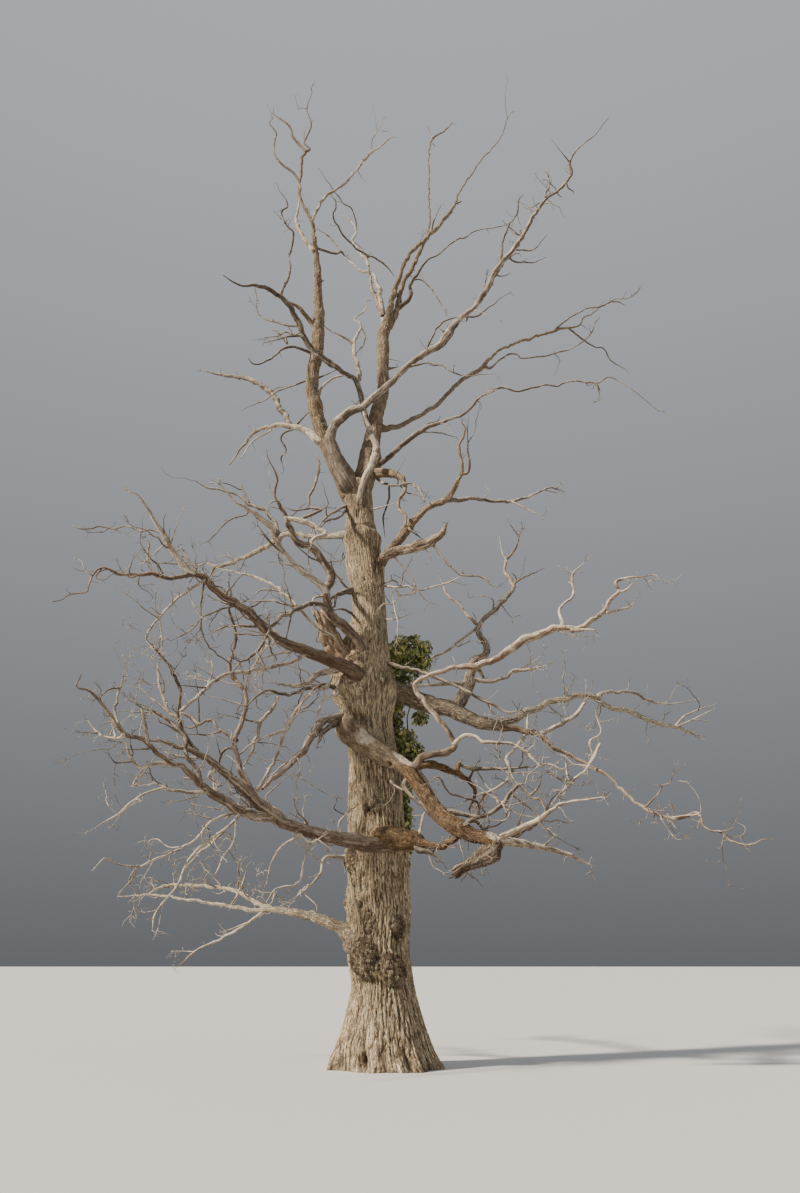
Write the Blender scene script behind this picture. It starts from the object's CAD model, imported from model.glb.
# Looks of a dead oak: a tall fissured trunk with burrs, two leaders, and bare twisted boughs in
# bleached, red-brown and dark weathered wood, with a little ivy behind the trunk. Metres, +Z up,
# the viewed side faces -Y, the origin is the middle of the flat cut under the trunk.
import math

import bpy
import numpy as np
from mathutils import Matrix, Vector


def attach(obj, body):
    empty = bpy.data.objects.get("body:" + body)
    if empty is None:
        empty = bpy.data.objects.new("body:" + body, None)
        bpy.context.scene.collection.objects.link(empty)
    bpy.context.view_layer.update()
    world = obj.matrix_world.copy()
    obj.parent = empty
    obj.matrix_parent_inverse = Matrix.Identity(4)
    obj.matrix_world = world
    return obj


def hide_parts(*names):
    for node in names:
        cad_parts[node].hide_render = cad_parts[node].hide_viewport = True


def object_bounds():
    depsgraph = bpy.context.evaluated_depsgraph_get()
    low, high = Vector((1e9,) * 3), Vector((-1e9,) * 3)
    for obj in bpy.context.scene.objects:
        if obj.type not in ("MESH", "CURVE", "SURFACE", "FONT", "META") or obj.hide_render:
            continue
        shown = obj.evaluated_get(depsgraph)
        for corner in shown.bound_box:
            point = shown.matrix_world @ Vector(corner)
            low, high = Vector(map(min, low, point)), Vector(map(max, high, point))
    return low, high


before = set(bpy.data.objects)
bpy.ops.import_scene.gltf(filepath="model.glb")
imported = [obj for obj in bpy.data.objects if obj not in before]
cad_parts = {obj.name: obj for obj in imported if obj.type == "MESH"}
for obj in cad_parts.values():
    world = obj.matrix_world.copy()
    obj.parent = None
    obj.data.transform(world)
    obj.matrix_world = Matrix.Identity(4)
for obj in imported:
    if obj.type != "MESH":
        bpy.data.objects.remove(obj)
cad_low, cad_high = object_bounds()

# ---------------------------------------------------------------- driving sizes
SEED = 20716
# the trunk's skin in pieces: from, to, points round, rings
TRUNK_PARTS = [(0, 2.6, 290, 165), (2.6, 5.9, 214, 178), (5.9, 10.9, 180, 255)]
TOE_COUNT = 7                 # ribs of the root flare
TOE_HEIGHT = 1.3
TOE_RELIEF = 0.13
BASE_DEPTH_RATIO = 0.92

# height, sideways offset of the middle, half width
TRUNK = [
    (0, 0, 0.9),
    (0.26, -0.04, 0.81),
    (1.25, -0.06, 0.52),
    (1.8, -0.15, 0.53),
    (2.45, -0.13, 0.57),
    (5.08, -0.25, 0.46),
    (5.84, -0.37, 0.44),
    (6.63, -0.38, 0.45),
    (7.44, -0.36, 0.36),
    (8.04, -0.37, 0.325),
    (9.08, -0.475, 0.345),
    (9.76, -0.585, 0.365),
    (9.98, -0.6, 0.32),
    (10.41, -0.6, 0.295),
    (10.75, -0.67, 0.335),
    (10.9, -0.67, 0.285),
]

# limbs: kind of wood, the nodes each stands for, place of the root, its radius in mm, and legs (length cm, bearing, rise, radius mm)
LIMBS = {
    "left_leader": ("bark", ["left_leader"], (-0.62, 0, 10.1), 240, [(63, 180, 76, 270), (120, -167, 62, 159), (106,
        -160, 72, 140), (63, -118, 84, 141), (90, -46, 82, 143), (239, -117, 84, 57), (75, -151, 80, 46), (33, -170,
        62, 35), (45, -163, 72, 35), (103, -72, 85, 35), (20, -14, 71, 35), (12, -7, 40, 30), (23, -171, 51, 21),
        (42, -15, 71, 18), (18, -57, 85, 17), (52, -159, 77, 13), (41, -18, 75, 8)]),
    "centre_leader": ("bark", ["centre_leader"], (-0.6, 0.03, 10.1), 240, [(67, 99, 84, 235), (43, 23, 73, 234),
        (138, 44, 81, 165), (95, 28, 78, 140), (125, 94, 84, 144), (61, 48, 84, 140), (88, 25, 78, 69), (120, 26,
        77, 56), (60, 17, 66, 47), (79, 11, 53, 48), (149, 13, 60, 34), (23, 29, 78, 25), (141, 14, 65, 19), (103,
        11, 58, 16), (39, 13, 64, 15), (74, 19, 74, 11), (30, 11, 60, 8)]),
    "left_leader_right_fork": ("pale", ["left_leader_right_fork"], (-1.8, -0.67, 17.41), 37, [(97, 27, 71, 35), (49,
        14, 45, 29), (133, 19, 62, 34), (96, 14, 54, 15)]),
    "left_leader_top_arm": ("pale", ["left_leader_top_arm"], (-1.99, -0.84, 19.38), 35, [(37, -140, 23, 35), (29,
        -124, 43, 26), (45, -143, 12, 14)]),
    "centre_leader_back_fork": ("bark", ["centre_leader_back_fork"], (-0.05, 0.58, 15.39), 70, [(69, 34, 69, 67),
        (78, 59, 76, 61), (138, 31, 68, 53), (99, 37, 72, 33), (46, 54, 78, 29), (103, 86, 80, 25), (266, 72, 80,
        24), (56, 15, 49, 21), (48, 19, 59, 13)]),
    "diagonal_bough": ("two", ["diagonal_bough_lower", "diagonal_bough_upper"], (-0.86, -0.19, 10.77), 150, [(41,
        -169, 60, 150), (47, -170, 74, 135), (36, 162, 79, 115), (29, 28, 73, 100), (30, -31, 31, 91), (55, -19, 21,
        78), (141, -23, 35, 57), (54, -20, 23, 78), (24, -26, 43, 94), (46, -29, 50, 54), (31, -22, 27, 46), (42,
        -27, 47, 58), (76, -29, 56, 50), (40, -21, 45, 48), (131, -26, 54, 27), (32, -18, 26, 27), (26, -22, 46,
        27), (19, -29, 59, 25), (21, -118, 74, 23), (36, -29, 59, 16), (44, -19, 34, 12), (49, -22, 47, 8)]),
    "upper_left_bough": ("dark", ["upper_left_bough"], (-0.34, 0.27, 12.32), 87, [(30, -143, 47, 70), (67, -117, 63,
        57), (21, -139, 49, 54), (23, -148, 39, 52), (61, -153, 19, 60), (38, -149, 31, 64), (38, -138, 46, 66),
        (20, -121, 59, 64), (62, -142, 41, 53), (57, -152, 10, 36), (32, -154, -27, 23), (44, -149, 14, 8)]),
    "upper_right_bough": ("bark", ["upper_right_bough"], (-0.3, 0.29, 12.52), 143, [(23, 32, 0, 83), (20, 30, 29,
        61), (92, 31, 36, 48), (88, 33, 47, 49), (93, 35, 53, 51), (101, 29, 44, 57), (42, 40, 59, 40), (53, 29, 47,
        33), (97, 16, 33, 39), (112, 15, 28, 34), (41, 14, 19, 24), (18, 16, 40, 24), (28, 26, 65, 19), (32, 15, 34,
        17), (42, 17, 48, 18), (61, 14, 29, 18), (22, 16, -19, 10)]),
    "upper_right_low_bough": ("dark", ["upper_right_low_bough"], (-0.28, 0.18, 11.44), 64, [(119, -31, 25, 48),
        (102, -29, 7, 29), (57, -34, 28, 20), (30, -30, 5, 12), (23, 151, -1, 24), (29, -14, 15, 24), (38, -13, -20,
        23), (54, -13, 6, 18), (20, -13, -16, 17), (44, -13, 6, 19), (40, -14, -18, 17), (23, -14, 27, 12), (7, -15,
        -15, 11), (35, -16, -41, 9), (84, -20, -53, 8)]),
    "curling_bough": ("bark", ["curling_bough_lower", "curling_bough_upper"], (-0.21, -0.08, 9.01), 121, [(32, -57,
        18, 104), (51, -47, 28, 93), (75, -38, 34, 58), (40, -27, 17, 66), (35, -36, 39, 48), (32, -50, 58, 33),
        (43, -110, 65, 26), (38, -50, 57, 19), (15, -148, 41, 10)]),
    "curling_bough_side_arm": ("two", ["curling_bough_side_arm"], (1.06, -1.22, 9.85), 58, [(61, 21, 15, 39), (93,
        20, 7, 30), (100, 20, 28, 16), (13, 20, 5, 15), (18, 24, 49, 8)]),
    "split_stub_bough": ("split", ["split_stub_bough"], (-0.08, -0.59, 8.96), 117, [(45, -24, 10, 103), (52, -23, 3,
        96), (30, -28, 29, 67), (25, -44, 53, 10)]),
    "hooked_bough": ("bark", ["hooked_bough"], (-0.37, 0.16, 11.26), 128, [(43, -33, -18, 95), (44, -37, -34, 66),
        (22, -57, -58, 47), (24, -94, -64, 41), (53, -116, -58, 36), (51, -63, -57, 38), (26, -83, -63, 36)]),
    "pale_left_bough": ("pale", ["pale_left_bough"], (-1.47, -0.14, 11.86), 106, [(41, 163, 45, 79), (42, 165, 27,
        61), (80, 165, 2, 35), (97, 158, -47, 17)]),
    "pale_left_bough_arm": ("dark", ["pale_left_bough_arm"], (-2.12, 0.05, 12.32), 76, [(182, 125, 54, 62), (42,
        137, 48, 59), (113, 140, 39, 54), (65, 144, 25, 40), (114, 144, 32, 13)]),
    "twisted_left_bough": ("brown", ["twisted_left_bough"], (-0.49, -0.35, 7.01), 66, [(14, -114, 68, 85), (28,
        -146, 51, 95), (48, -154, 35, 95), (21, -145, 53, 85), (36, -105, 68, 76), (16, -39, 56, 76), (14, -101, 69,
        76), (19, -137, 58, 76), (48, -150, 44, 66), (25, -159, 4, 66), (30, -144, 52, 61), (23, -124, 64, 43), (48,
        -142, 54, 24), (34, -69, 68, 21), (29, -139, 55, 9)]),
    "silver_left_bough": ("white", ["silver_left_bough"], (-1.15, -0.84, 8.06), 66, [(17, -127, 39, 70), (84, -139,
        23, 55), (84, -127, 37, 60), (73, -137, 17, 21), (35, -131, 27, 9)]),
    "grey_left_bough": ("lichen", ["grey_left_bough"], (-0.85, -0.1, 9.68), 92, [(66, 145, 10, 50), (111, 146, 18,
        56), (55, 142, -13, 59), (75, 147, -9, 51), (74, 150, -2, 41), (34, 148, 35, 27), (20, 149, -10, 25), (41,
        152, 14, 14)]),
    "broken_left_stub": ("tan", ["broken_left_stub"], (-0.54, -0.06, 6.69), 287, [(102, -151, 46, 167), (31, -141,
        57, 119)]),
    "great_left_bough": ("rustdark", ["great_left_bough_inner", "great_left_bough_outer"], (-0.49, -0.21, 6.54),
        161, [(34, -111, 9, 149), (18, -145, 26, 130), (159, -154, 15, 81), (50, -144, 38, 81), (82, -151, 26, 58),
        (29, -147, 40, 57), (10, -155, 10, 44), (52, -155, -19, 35), (28, -154, 2, 34), (55, -154, -9, 27), (25,
        -154, 11, 18), (11, -151, -26, 17), (15, -132, -60, 17), (36, -105, -69, 17), (28, -151, -23, 10), (15,
        -136, -54, 8), (15, -151, -21, 8)]),
    "silver_split_branch": ("white", ["silver_split_branch"], (-3.4, -2.06, 7.95), 70, [(22, -139, 22, 68), (146,
        -127, 39, 15), (14, -135, 4, 8)]),
    "thin_left_branch": ("pale", ["thin_left_branch"], (-1.5, -0.99, 6.79), 27, [(54, -146, -30, 35), (115, -147,
        -20, 34), (35, -138, -39, 33), (73, -130, -47, 28)]),
    "peeled_left_branch": ("pink", ["peeled_left_branch"], (-0.78, -0.11, 5.88), 84, [(62, -125, -18, 69), (21,
        -125, -34, 72), (81, -115, -48, 59), (115, -130, -41, 32)]),
    "low_left_bough_inner": ("brown", ["low_left_bough_inner"], (0.23, -0.26, 3.63), 168, [(39, -140, -20, 135),
        (26, -147, -3, 129), (150, -154, 9, 98), (40, -152, 25, 108), (142, -152, 35, 54), (49, -155, 16, 31), (50,
        -156, 10, 22)]),
    "low_left_bough_outer": ("brown", ["low_left_bough_outer"], (-1.92, -1.45, 3.84), 99, [(27, -145, -3, 90), (80,
        -143, 19, 64), (74, -137, 30, 41), (15, -143, 6, 41), (27, -140, 31, 37), (26, -150, 35, 35), (40, -154, 19,
        35), (71, -144, 45, 21), (28, -151, 23, 14), (18, -55, 61, 8)]),
    "low_left_upright_inner": ("pink", ["low_left_upright_inner"], (-2.14, -1.59, 4.09), 66, [(69, 168, 60, 47),
        (39, 154, 76, 44), (56, 29, 77, 41), (38, 113, 84, 39), (44, 172, 48, 37), (29, 144, 81, 34), (10, 20, 71,
        29)]),
    "low_left_upright_outer": ("dark", ["low_left_upright_outer"], (-3.03, -2.04, 4.73), 46, [(32, -156, 45, 41),
        (33, -141, 61, 37), (61, -92, 62, 28), (64, -132, 46, 19), (26, -140, 36, 8)]),
    "lowest_left_bough": ("palebark", ["lowest_left_bough"], (-0.49, -0.13, 1.96), 256, [(20, 176, 40, 146), (22,
        165, 24, 108), (77, 161, 17, 74), (104, 159, 5, 35), (220, 155, 8, 20), (81, 156, 0, 9)]),
    "lowest_left_fork": ("palebark", ["lowest_left_fork"], (-1.73, 0.23, 2.43), 53, [(84, 141, 12, 44), (61, 140,
        21, 42), (68, 143, 10, 36), (137, 146, 4, 25), (53, 142, -16, 17)]),
    "right_bough": ("bark", ["right_bough_inner", "right_bough_outer"], (-0.04, 0.11, 6.46), 231, [(41, 3, -15,
        202), (25, -3, -26, 177), (73, -8, -18, 152), (52, -11, -29, 127), (23, -10, -12, 112), (48, 18, 18, 76),
        (89, 19, 27, 61), (84, 16, 13, 61), (24, 19, -10, 59), (13, 29, -43, 51), (19, 21, -18, 51), (52, 19, -7,
        50), (54, 20, -17, 46), (68, 19, -8, 32), (39, 20, -21, 10)]),
    "right_bough_pale_fork": ("pale", ["right_bough_pale_fork"], (4.14, 0.6, 6.47), 44, [(14, 25, 33, 40), (50, 23,
        11, 35), (26, 24, -1, 32), (69, 25, -12, 16), (109, 22, 11, 8)]),
    "rising_right_bough": ("bark", ["rising_right_bough"], (1.27, 0.04, 6.07), 123, [(61, 49, 49, 117), (77, 65, 59,
        91), (50, 36, 38, 77), (74, 110, 60, 53), (16, 66, 53, 53), (179, 46, 45, 48), (52, 114, 55, 37), (53, 75,
        61, 33), (29, -40, 43, 26), (53, -41, 62, 11)]),
    "drooping_right_bough": ("brown", ["drooping_right_bough_inner", "drooping_right_bough_outer"], (1.93, -0.1,
        5.69), 75, [(89, -22, -14, 57), (37, -30, -43, 40), (109, -27, -33, 30), (80, -37, -46, 27), (35, -32, -31,
        25), (37, -30, -15, 23), (28, -30, 15, 24), (29, -60, -59, 16), (11, -37, -35, 16), (15, -31, -9, 16), (21,
        -48, -49, 16), (29, -33, -14, 15), (21, -32, 19, 8)]),
    "front_stub": ("bark", ["front_stub"], (-0.7, -0.17, 5.64), 279, [(68, -39, -40, 199), (96, -28, -30, 122)]),
    "rust_bough": ("rust", ["rust_bough"], (0.37, -0.88, 4.72), 210, [(116, -38, -50, 137), (48, -31, -32, 126),
        (57, -28, -19, 112)]),
    "splintered_end": ("splinter", ["splintered_end"], (1.81, -1.8, 3.42), 185, [(30, 150, -45, 152), (56, 157, -26,
        85)]),
    "rust_bough_pale_fork": ("pale", ["rust_bough_pale_fork"], (1.78, -1.79, 3.43), 58, [(79, -33, 19, 41), (43,
        -35, 25, 21), (70, -33, 5, 8)]),
    "rust_bough_brown_fork": ("brown", ["rust_bough_brown_fork"], (1.83, -1.8, 3.41), 81, [(92, 21, -6, 47), (77,
        22, -16, 14)]),
    "peeled_right_bough": ("peel", ["peeled_right_bough_root", "peeled_right_bough_turn", "peeled_right_bough"],
        (0.51, -0.9, 4.79), 71, [(18, -8, 54, 63), (46, -5, 11, 63), (15, -6, 35, 55), (12, -122, 84, 48), (110,
        -172, 52, 40), (13, -159, 78, 40), (10, -6, 39, 40), (58, -5, 20, 43), (69, -5, 10, 63), (94, -12, 26, 76),
        (29, -12, 18, 67), (59, -12, 3, 49), (54, -13, 34, 39), (12, -35, 69, 38), (30, -15, 40, 32), (14, -153, 67,
        30), (7, -24, 62, 30), (62, -12, 5, 9)]),
    "mid_right_branch": ("rust", ["mid_right_branch"], (0.58, -0.91, 4.79), 79, [(17, 24, 12, 79), (77, 24, -16,
        46), (21, 32, -44, 34), (11, 65, -64, 30), (29, 121, -61, 20)]),
    "sawn_stub": ("rust", ["sawn_stub"], (-0.05, -0.4, 3.62), 228, [(61, -33, -8, 180), (25, -36, -21, 76), (12,
        -34, -11, 63), (21, -35, 1, 62), (43, -37, 16, 50)]),
    "back_left_bough": ("dark", ["back_left_bough"], (-0.79, 0.1, 6.9), 106, [(104, 145, 27, 82), (128, 148, 29,
        74), (88, 142, 44, 76), (77, 142, 38, 68), (82, 146, 33, 59), (61, 142, 44, 58), (19, 148, 27, 46), (52,
        149, 4, 39)]),
    "back_low_left_bough": ("brown", ["back_low_left_bough"], (-0.53, 0.13, 3.63), 91, [(75, 112, 11, 85), (52, 121,
        13, 80), (43, 131, 11, 78), (43, 141, 10, 82), (41, 147, 18, 90), (60, 150, 28, 101), (36, 156, -5, 86),
        (35, 156, 22, 80), (109, 157, 28, 60), (69, 154, 39, 46)]),
    "back_right_bough": ("brown", ["back_right_bough"], (0.38, 0.1, 4.92), 156, [(125, 46, -38, 110), (58, 36, -23,
        104), (75, 32, -10, 96), (198, 34, 26, 29), (60, 31, 16, 27), (62, 29, 9, 12)]),
    "back_upper_right_bough": ("dark", ["back_upper_right_bough"], (-0.3, 0.5, 13.44), 63, [(166, 23, 52, 51), (78,
        20, 44, 71), (38, 23, 55, 87), (78, 27, 62, 51), (48, 18, 46, 44), (73, 24, 59, 57), (144, 31, 64, 50), (75,
        25, 57, 49), (267, 28, 63, 29), (67, 18, 45, 30), (55, 22, 58, 30), (42, 27, 65, 28)]),
    "back_upper_left_bough": ("dark", ["back_upper_left_bough"], (-0.69, 0.09, 7.56), 74, [(72, 140, 43, 76), (33,
        132, 53, 69), (58, 106, 64, 63), (26, 63, 60, 64), (24, 102, 65, 64), (31, 128, 58, 65), (89, 135, 49, 59),
        (17, 144, 16, 54), (27, 144, 32, 59), (60, 131, 54, 56), (66, 122, 59, 30), (56, 135, 53, 23)]),
}

# smaller branches that grow on from them, told the same way
SIDE_BRANCHES = [
    ("pale", (-1.73, -0.6, 16.6), 57, [(71, 148, 60, 52), (62, 138, 68, 41), (102, 89, 77, 27)]),
    ("pale", (-2.09, -0.75, 18.3), 29, [(30, -120, 49, 30), (48, -144, 18, 25), (17, -130, 43, 22), (20, -106, 54,
        19), (25, -61, 49, 18), (26, -136, 35, 13), (14, -42, 34, 11), (6, -132, 38, 8)]),
    ("pale", (-0.46, -0.2, 20.08), 16, [(30, -89, 60, 14), (34, -38, 37, 11), (25, -56, 54, 9)]),
    ("bark", (-0.04, 0.46, 14.15), 34, [(23, -24, -6, 20)]),
    ("dark", (1.71, 1.09, 19.75), 28, [(11, -18, 20, 26)]),
    ("pale", (-0.13, 0.58, 15.45), 70, [(172, 114, 73, 54), (56, 132, 69, 40)]),
    ("bark", (-0.18, 0.6, 15.76), 57, [(149, 116, 64, 47), (173, 106, 68, 39)]),
    ("pale", (-0.56, 1.49, 17.91), 38, [(15, 158, 7, 36), (86, 155, 51, 26)]),
    ("pale", (1.13, 2.01, 23.12), 17, [(32, -146, 65, 13), (21, -157, 53, 7)]),
    ("dark", (1.02, 0.94, 18.62), 25, [(28, -61, 67, 19), (50, -41, 57, 10)]),
    ("dark", (0.17, 0.73, 16.07), 60, [(42, -12, 43, 53), (34, -61, 82, 41), (80, -15, 57, 21), (25, -9, 26, 19),
        (69, -10, 39, 18), (11, -10, -7, 17), (27, -10, 33, 15), (19, -9, 14, 15), (41, -8, 3, 13), (25, -9, 15,
        11)]),
    ("dark", (0.52, 0.61, 16.8), 22, [(22, -27, -10, 19), (146, -39, -61, 16), (34, -63, -69, 10)]),
    ("dark", (-0.6, 1.76, 18.6), 23, [(10, 15, 27, 22), (45, 19, -26, 21), (35, 25, -47, 12)]),
    ("dark", (0.79, -1.02, 13.51), 23, [(58, -34, 60, 21), (19, -20, 33, 21), (24, -17, 7, 19)]),
    ("dark", (3.3, -2.21, 16.53), 23, [(14, 86, 80, 21), (21, 23, 63, 18), (75, 64, 79, 11)]),
    ("dark", (3.81, -2.47, 17.22), 17, [(48, -144, 32, 6)]),
    ("dark", (2.34, -1.76, 15.15), 31, [(57, -66, 71, 21), (32, -39, 63, 20), (31, -28, 50, 18), (27, -65, 71, 16),
        (14, -25, 45, 13)]),
    ("dark", (0.44, -0.87, 13.24), 27, [(43, -27, -9, 20), (17, -30, -40, 20), (16, -27, -14, 19), (30, -33, -48,
        16), (42, -29, -35, 14), (72, -29, -16, 7)]),
    ("pale", (1.69, -1.42, 14.2), 15, [(9, -25, 2, 14), (66, -29, -41, 7)]),
    ("pale", (-0.58, -0, 12.86), 59, [(64, 126, 74, 53), (36, 79, 77, 54), (102, 130, 74, 46), (70, 43, 72, 23),
        (28, 157, 53, 18), (47, 23, 53, 16), (26, 80, 79, 13), (27, 145, 70, 8)]),
    ("pale", (-0.86, 0.44, 14.83), 35, [(17, -155, 28, 28), (43, -156, 14, 18)]),
    ("dark", (-0.69, 0.59, 15.45), 21, [(38, -37, -69, 23), (22, -111, -78, 22), (38, -151, -63, 18)]),
    ("pale", (-0.58, 0.01, 12.84), 20, [(12, -151, -9, 17), (17, -149, 20, 11)]),
    ("bark", (2.34, 1.91, 15.28), 42, [(11, 21, -11, 37), (47, 21, 48, 29)]),
    ("dark", (0.73, -0.43, 11.97), 25, [(16, 28, 61, 23), (29, 20, 28, 19)]),
    ("pale", (1.04, -0.6, 12.01), 17, [(12, -17, -21, 15), (48, -27, -56, 8)]),
    ("dark", (0.65, -0.38, 11.93), 19, [(38, 17, 9, 15), (44, 18, -4, 11)]),
    ("dark", (4.29, 2.62, 16.95), 24, [(41, -29, 31, 20), (55, -26, 17, 18), (35, -25, -9, 17), (38, -26, 12, 13),
        (35, -25, -13, 13), (28, -28, 22, 15), (19, -42, 50, 6)]),
    ("dark", (5.64, 3.01, 18.04), 15, [(34, 22, 61, 8)]),
    ("dark", (4.66, 2.72, 17.11), 26, [(92, 27, -20, 17), (20, 23, 8, 17), (16, 24, -27, 17), (30, 1, -68, 16), (48,
        0, -40, 9), (17, 0, -67, 7)]),
    ("dark", (2.69, 2.04, 15.55), 28, [(31, -14, 27, 23), (20, -12, -8, 20), (16, -17, -51, 19), (129, -13, 4, 16),
        (54, -15, 37, 16), (35, -27, 63, 14), (14, -17, 45, 6)]),
    ("dark", (4.13, -1.69, 12.21), 22, [(14, 47, -52, 18)]),
    ("dark", (1.42, -1.48, 10.3), 29, [(10, -19, -8, 29), (13, -45, 58, 25), (57, -103, 68, 13), (40, -77, 67, 6)]),
    ("pale", (2.46, -0.7, 10.11), 26, [(74, -18, -36, 10)]),
    ("pale", (1.87, -0.92, 10.05), 14, [(18, -38, 38, 8)]),
    ("dark", (3.4, -0.36, 10.59), 14, [(27, 24, -3, 7)]),
    ("dark", (0.88, -0.99, 9), 23, [(83, -31, -53, 17), (59, -24, -23, 16), (14, -35, -56, 11), (17, -26, -34, 6)]),
    ("dark", (-0.24, 0.15, 11.11), 30, [(51, -52, -39, 27), (78, -51, -21, 24), (60, -63, -47, 20), (35, -74, -53,
        19)]),
    ("dark", (0, -0.16, 10.78), 23, [(28, 90, -71, 21), (39, 132, -63, 19), (43, 74, -69, 10)]),
    ("dark", (0.42, -0.88, 9.4), 21, [(44, -25, -44, 13)]),
    ("dark", (0.11, -0.67, 8.94), 18, [(64, -33, -54, 15), (55, -42, -60, 13), (24, -28, -44, 7)]),
    ("pale", (-0.43, -0.08, 10.24), 22, [(20, -42, -10, 20), (52, -33, -2, 10)]),
    ("pale", (-0.17, -0.08, 8.55), 24, [(50, -32, -16, 20), (16, -29, 2, 20), (25, -29, -34, 18), (73, -24, 6, 14),
        (22, -23, 20, 8)]),
    ("pale", (0.56, -0.57, 8.25), 14, [(17, -163, -35, 13), (20, -164, -13, 14), (24, -158, -50, 15), (18, -164,
        -11, 15), (24, -158, -48, 8)]),
    ("pale", (0.22, -0.67, 8.09), 15, [(14, -136, 48, 13), (9, -153, -33, 13), (80, -71, -67, 14), (43, -94, -69,
        8)]),
    ("dark", (-0.17, -0.08, 8.58), 18, [(39, -46, -4, 15), (15, -47, -35, 14), (12, -76, -56, 9)]),
    ("pale", (-0.12, -0.09, 7.83), 14, [(45, -51, -15, 12), (38, -47, 0, 6)]),
    ("pale", (0.19, -0.62, 7.65), 11, [(22, 73, 73, 7)]),
    ("bark", (1.52, 1.63, 8.83), 33, [(45, 148, 47, 29), (72, 125, 66, 9)]),
    ("dark", (3.03, 2.56, 10.94), 18, [(32, -146, 43, 12)]),
    ("pale", (2.75, 2.76, 10.35), 24, [(36, 123, 64, 21), (54, 95, 71, 7)]),
    ("dark", (2.89, 2.23, 9.64), 14, [(14, -138, 61, 13), (12, -160, 28, 8)]),
    ("dark", (-2.32, -1.3, 14.72), 42, [(94, 64, 72, 28), (65, 108, 74, 25)]),
    ("bark", (-1.61, -0.41, 14.54), 55, [(47, -147, 44, 48), (19, -151, 32, 44), (32, -156, 12, 37)]),
    ("dark", (-2.93, 0.25, 12.36), 24, [(27, 159, 43, 14)]),
    ("pale", (-2.58, 0.17, 12.33), 17, [(60, -156, -45, 15), (34, -134, -68, 14), (29, -150, -57, 12)]),
    ("dark", (-2.06, 0.03, 12.28), 24, [(25, 160, -16, 21), (12, 145, -57, 19), (28, 44, -62, 18), (20, 146, -54,
        18), (14, 58, -67, 17)]),
    ("dark", (-2.01, 0.02, 12.35), 28, [(44, -31, 37, 15)]),
    ("dark", (-1.7, -0.29, 13.33), 26, [(81, 153, -3, 18), (41, 152, -15, 17), (66, 154, -8, 7)]),
    ("dark", (-1.61, -0.35, 13.92), 37, [(50, -154, 5, 30), (19, -156, -17, 28), (66, -147, -52, 19), (36, -153,
        -32, 16), (18, -144, 37, 8)]),
    ("dark", (-1.84, -0.87, 14.03), 28, [(42, -152, -26, 23), (61, -149, -36, 12)]),
    ("dark", (-1.89, -0.91, 14.09), 21, [(15, 163, -15, 19), (25, 166, 27, 18), (16, 163, -25, 17), (40, 166, 0,
        9)]),
    ("dark", (-2.14, -1.05, 13.67), 11, [(57, 151, 54, 15), (13, 156, 22, 9)]),
    ("dark", (-1.93, -0.97, 14.2), 24, [(25, 158, 17, 21), (93, 158, 35, 15), (46, 139, 69, 8)]),
    ("pale", (-1.55, -0.24, 12.88), 32, [(25, -36, 62, 27), (43, -18, 29, 23), (13, -13, -2, 17)]),
    ("dark", (-1.55, -0.29, 13.36), 20, [(48, -26, 8, 13)]),
    ("dark", (-1.6, -0.53, 15.8), 27, [(14, 28, 22, 20)]),
    ("pale", (-1.35, 0.22, 15.01), 19, [(23, -147, 21, 16)]),
    ("pale", (-1.9, -1.49, 9.33), 56, [(29, -21, -19, 54), (65, -23, -34, 42), (31, -149, -43, 34), (10, -120, -69,
        36)]),
    ("two", (-1.33, -1.72, 9.02), 26, [(36, 163, 41, 33), (42, 18, 33, 26), (25, 165, 22, 25), (18, 110, 78, 26),
        (90, 55, 75, 29), (32, 147, 71, 12)]),
    ("dark", (-1.47, -1.48, 9.56), 19, [(32, 161, 1, 15), (25, 161, 24, 11)]),
    ("pale", (-2.1, -1.63, 9.64), 17, [(13, -149, -36, 15), (16, -136, -59, 8)]),
    ("pale", (-2.12, -1.69, 9.79), 13, [(18, 164, 16, 6)]),
    ("two", (-0.87, -0.08, 10.34), 31, [(101, -113, -37, 24), (68, -112, -46, 21)]),
    ("dark", (-0.85, -0.08, 10.24), 27, [(51, -108, -41, 22), (67, -118, -34, 21), (34, -109, -46, 19)]),
    ("pale", (-1.69, -1.34, 8.4), 19, [(43, -152, 1, 7)]),
    ("pale", (-1.66, -1.33, 8.43), 28, [(13, 30, -15, 13)]),
    ("dark", (-2.01, -1.8, 8.87), 40, [(58, 145, 62, 34), (40, 161, 29, 32), (52, 158, 40, 21), (72, 162, 23, 18),
        (32, 161, 38, 9)]),
    ("dark", (-2.63, -1.5, 9.65), 24, [(55, 146, 62, 19), (10, 159, 41, 11)]),
    ("dark", (-2.83, -1.39, 10), 12, [(25, -162, 19, 10), (38, -163, -6, 6)]),
    ("dark", (-1.96, -1.61, 8.61), 20, [(39, -151, 33, 21), (20, -142, 49, 10)]),
    ("dark", (-2.48, -2.23, 9.11), 16, [(9, 143, -43, 14), (27, 156, -2, 14), (24, 152, -22, 14), (37, 147, -35,
        12), (21, 154, -14, 6)]),
    ("dark", (-3.97, 1.99, 9.88), 38, [(30, -134, -71, 29)]),
    ("pale", (-1.66, -1.12, 7.67), 37, [(54, 154, 47, 32), (62, 159, 34, 27), (103, 161, 21, 14)]),
    ("dark", (-2.01, -0.96, 8.07), 18, [(40, 165, 10, 16), (30, 162, -30, 9)]),
    ("dark", (-1.73, -1.1, 7.72), 22, [(57, 158, 19, 20), (50, 159, 6, 11)]),
    ("dark", (-1.11, -0.73, 7.76), 57, [(19, -140, 27, 49), (26, -147, -9, 47), (70, -143, -34, 36), (34, -131, -49,
        29), (60, -118, -57, 26), (37, -131, -48, 22), (10, -142, -17, 21), (33, -122, -52, 17)]),
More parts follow.
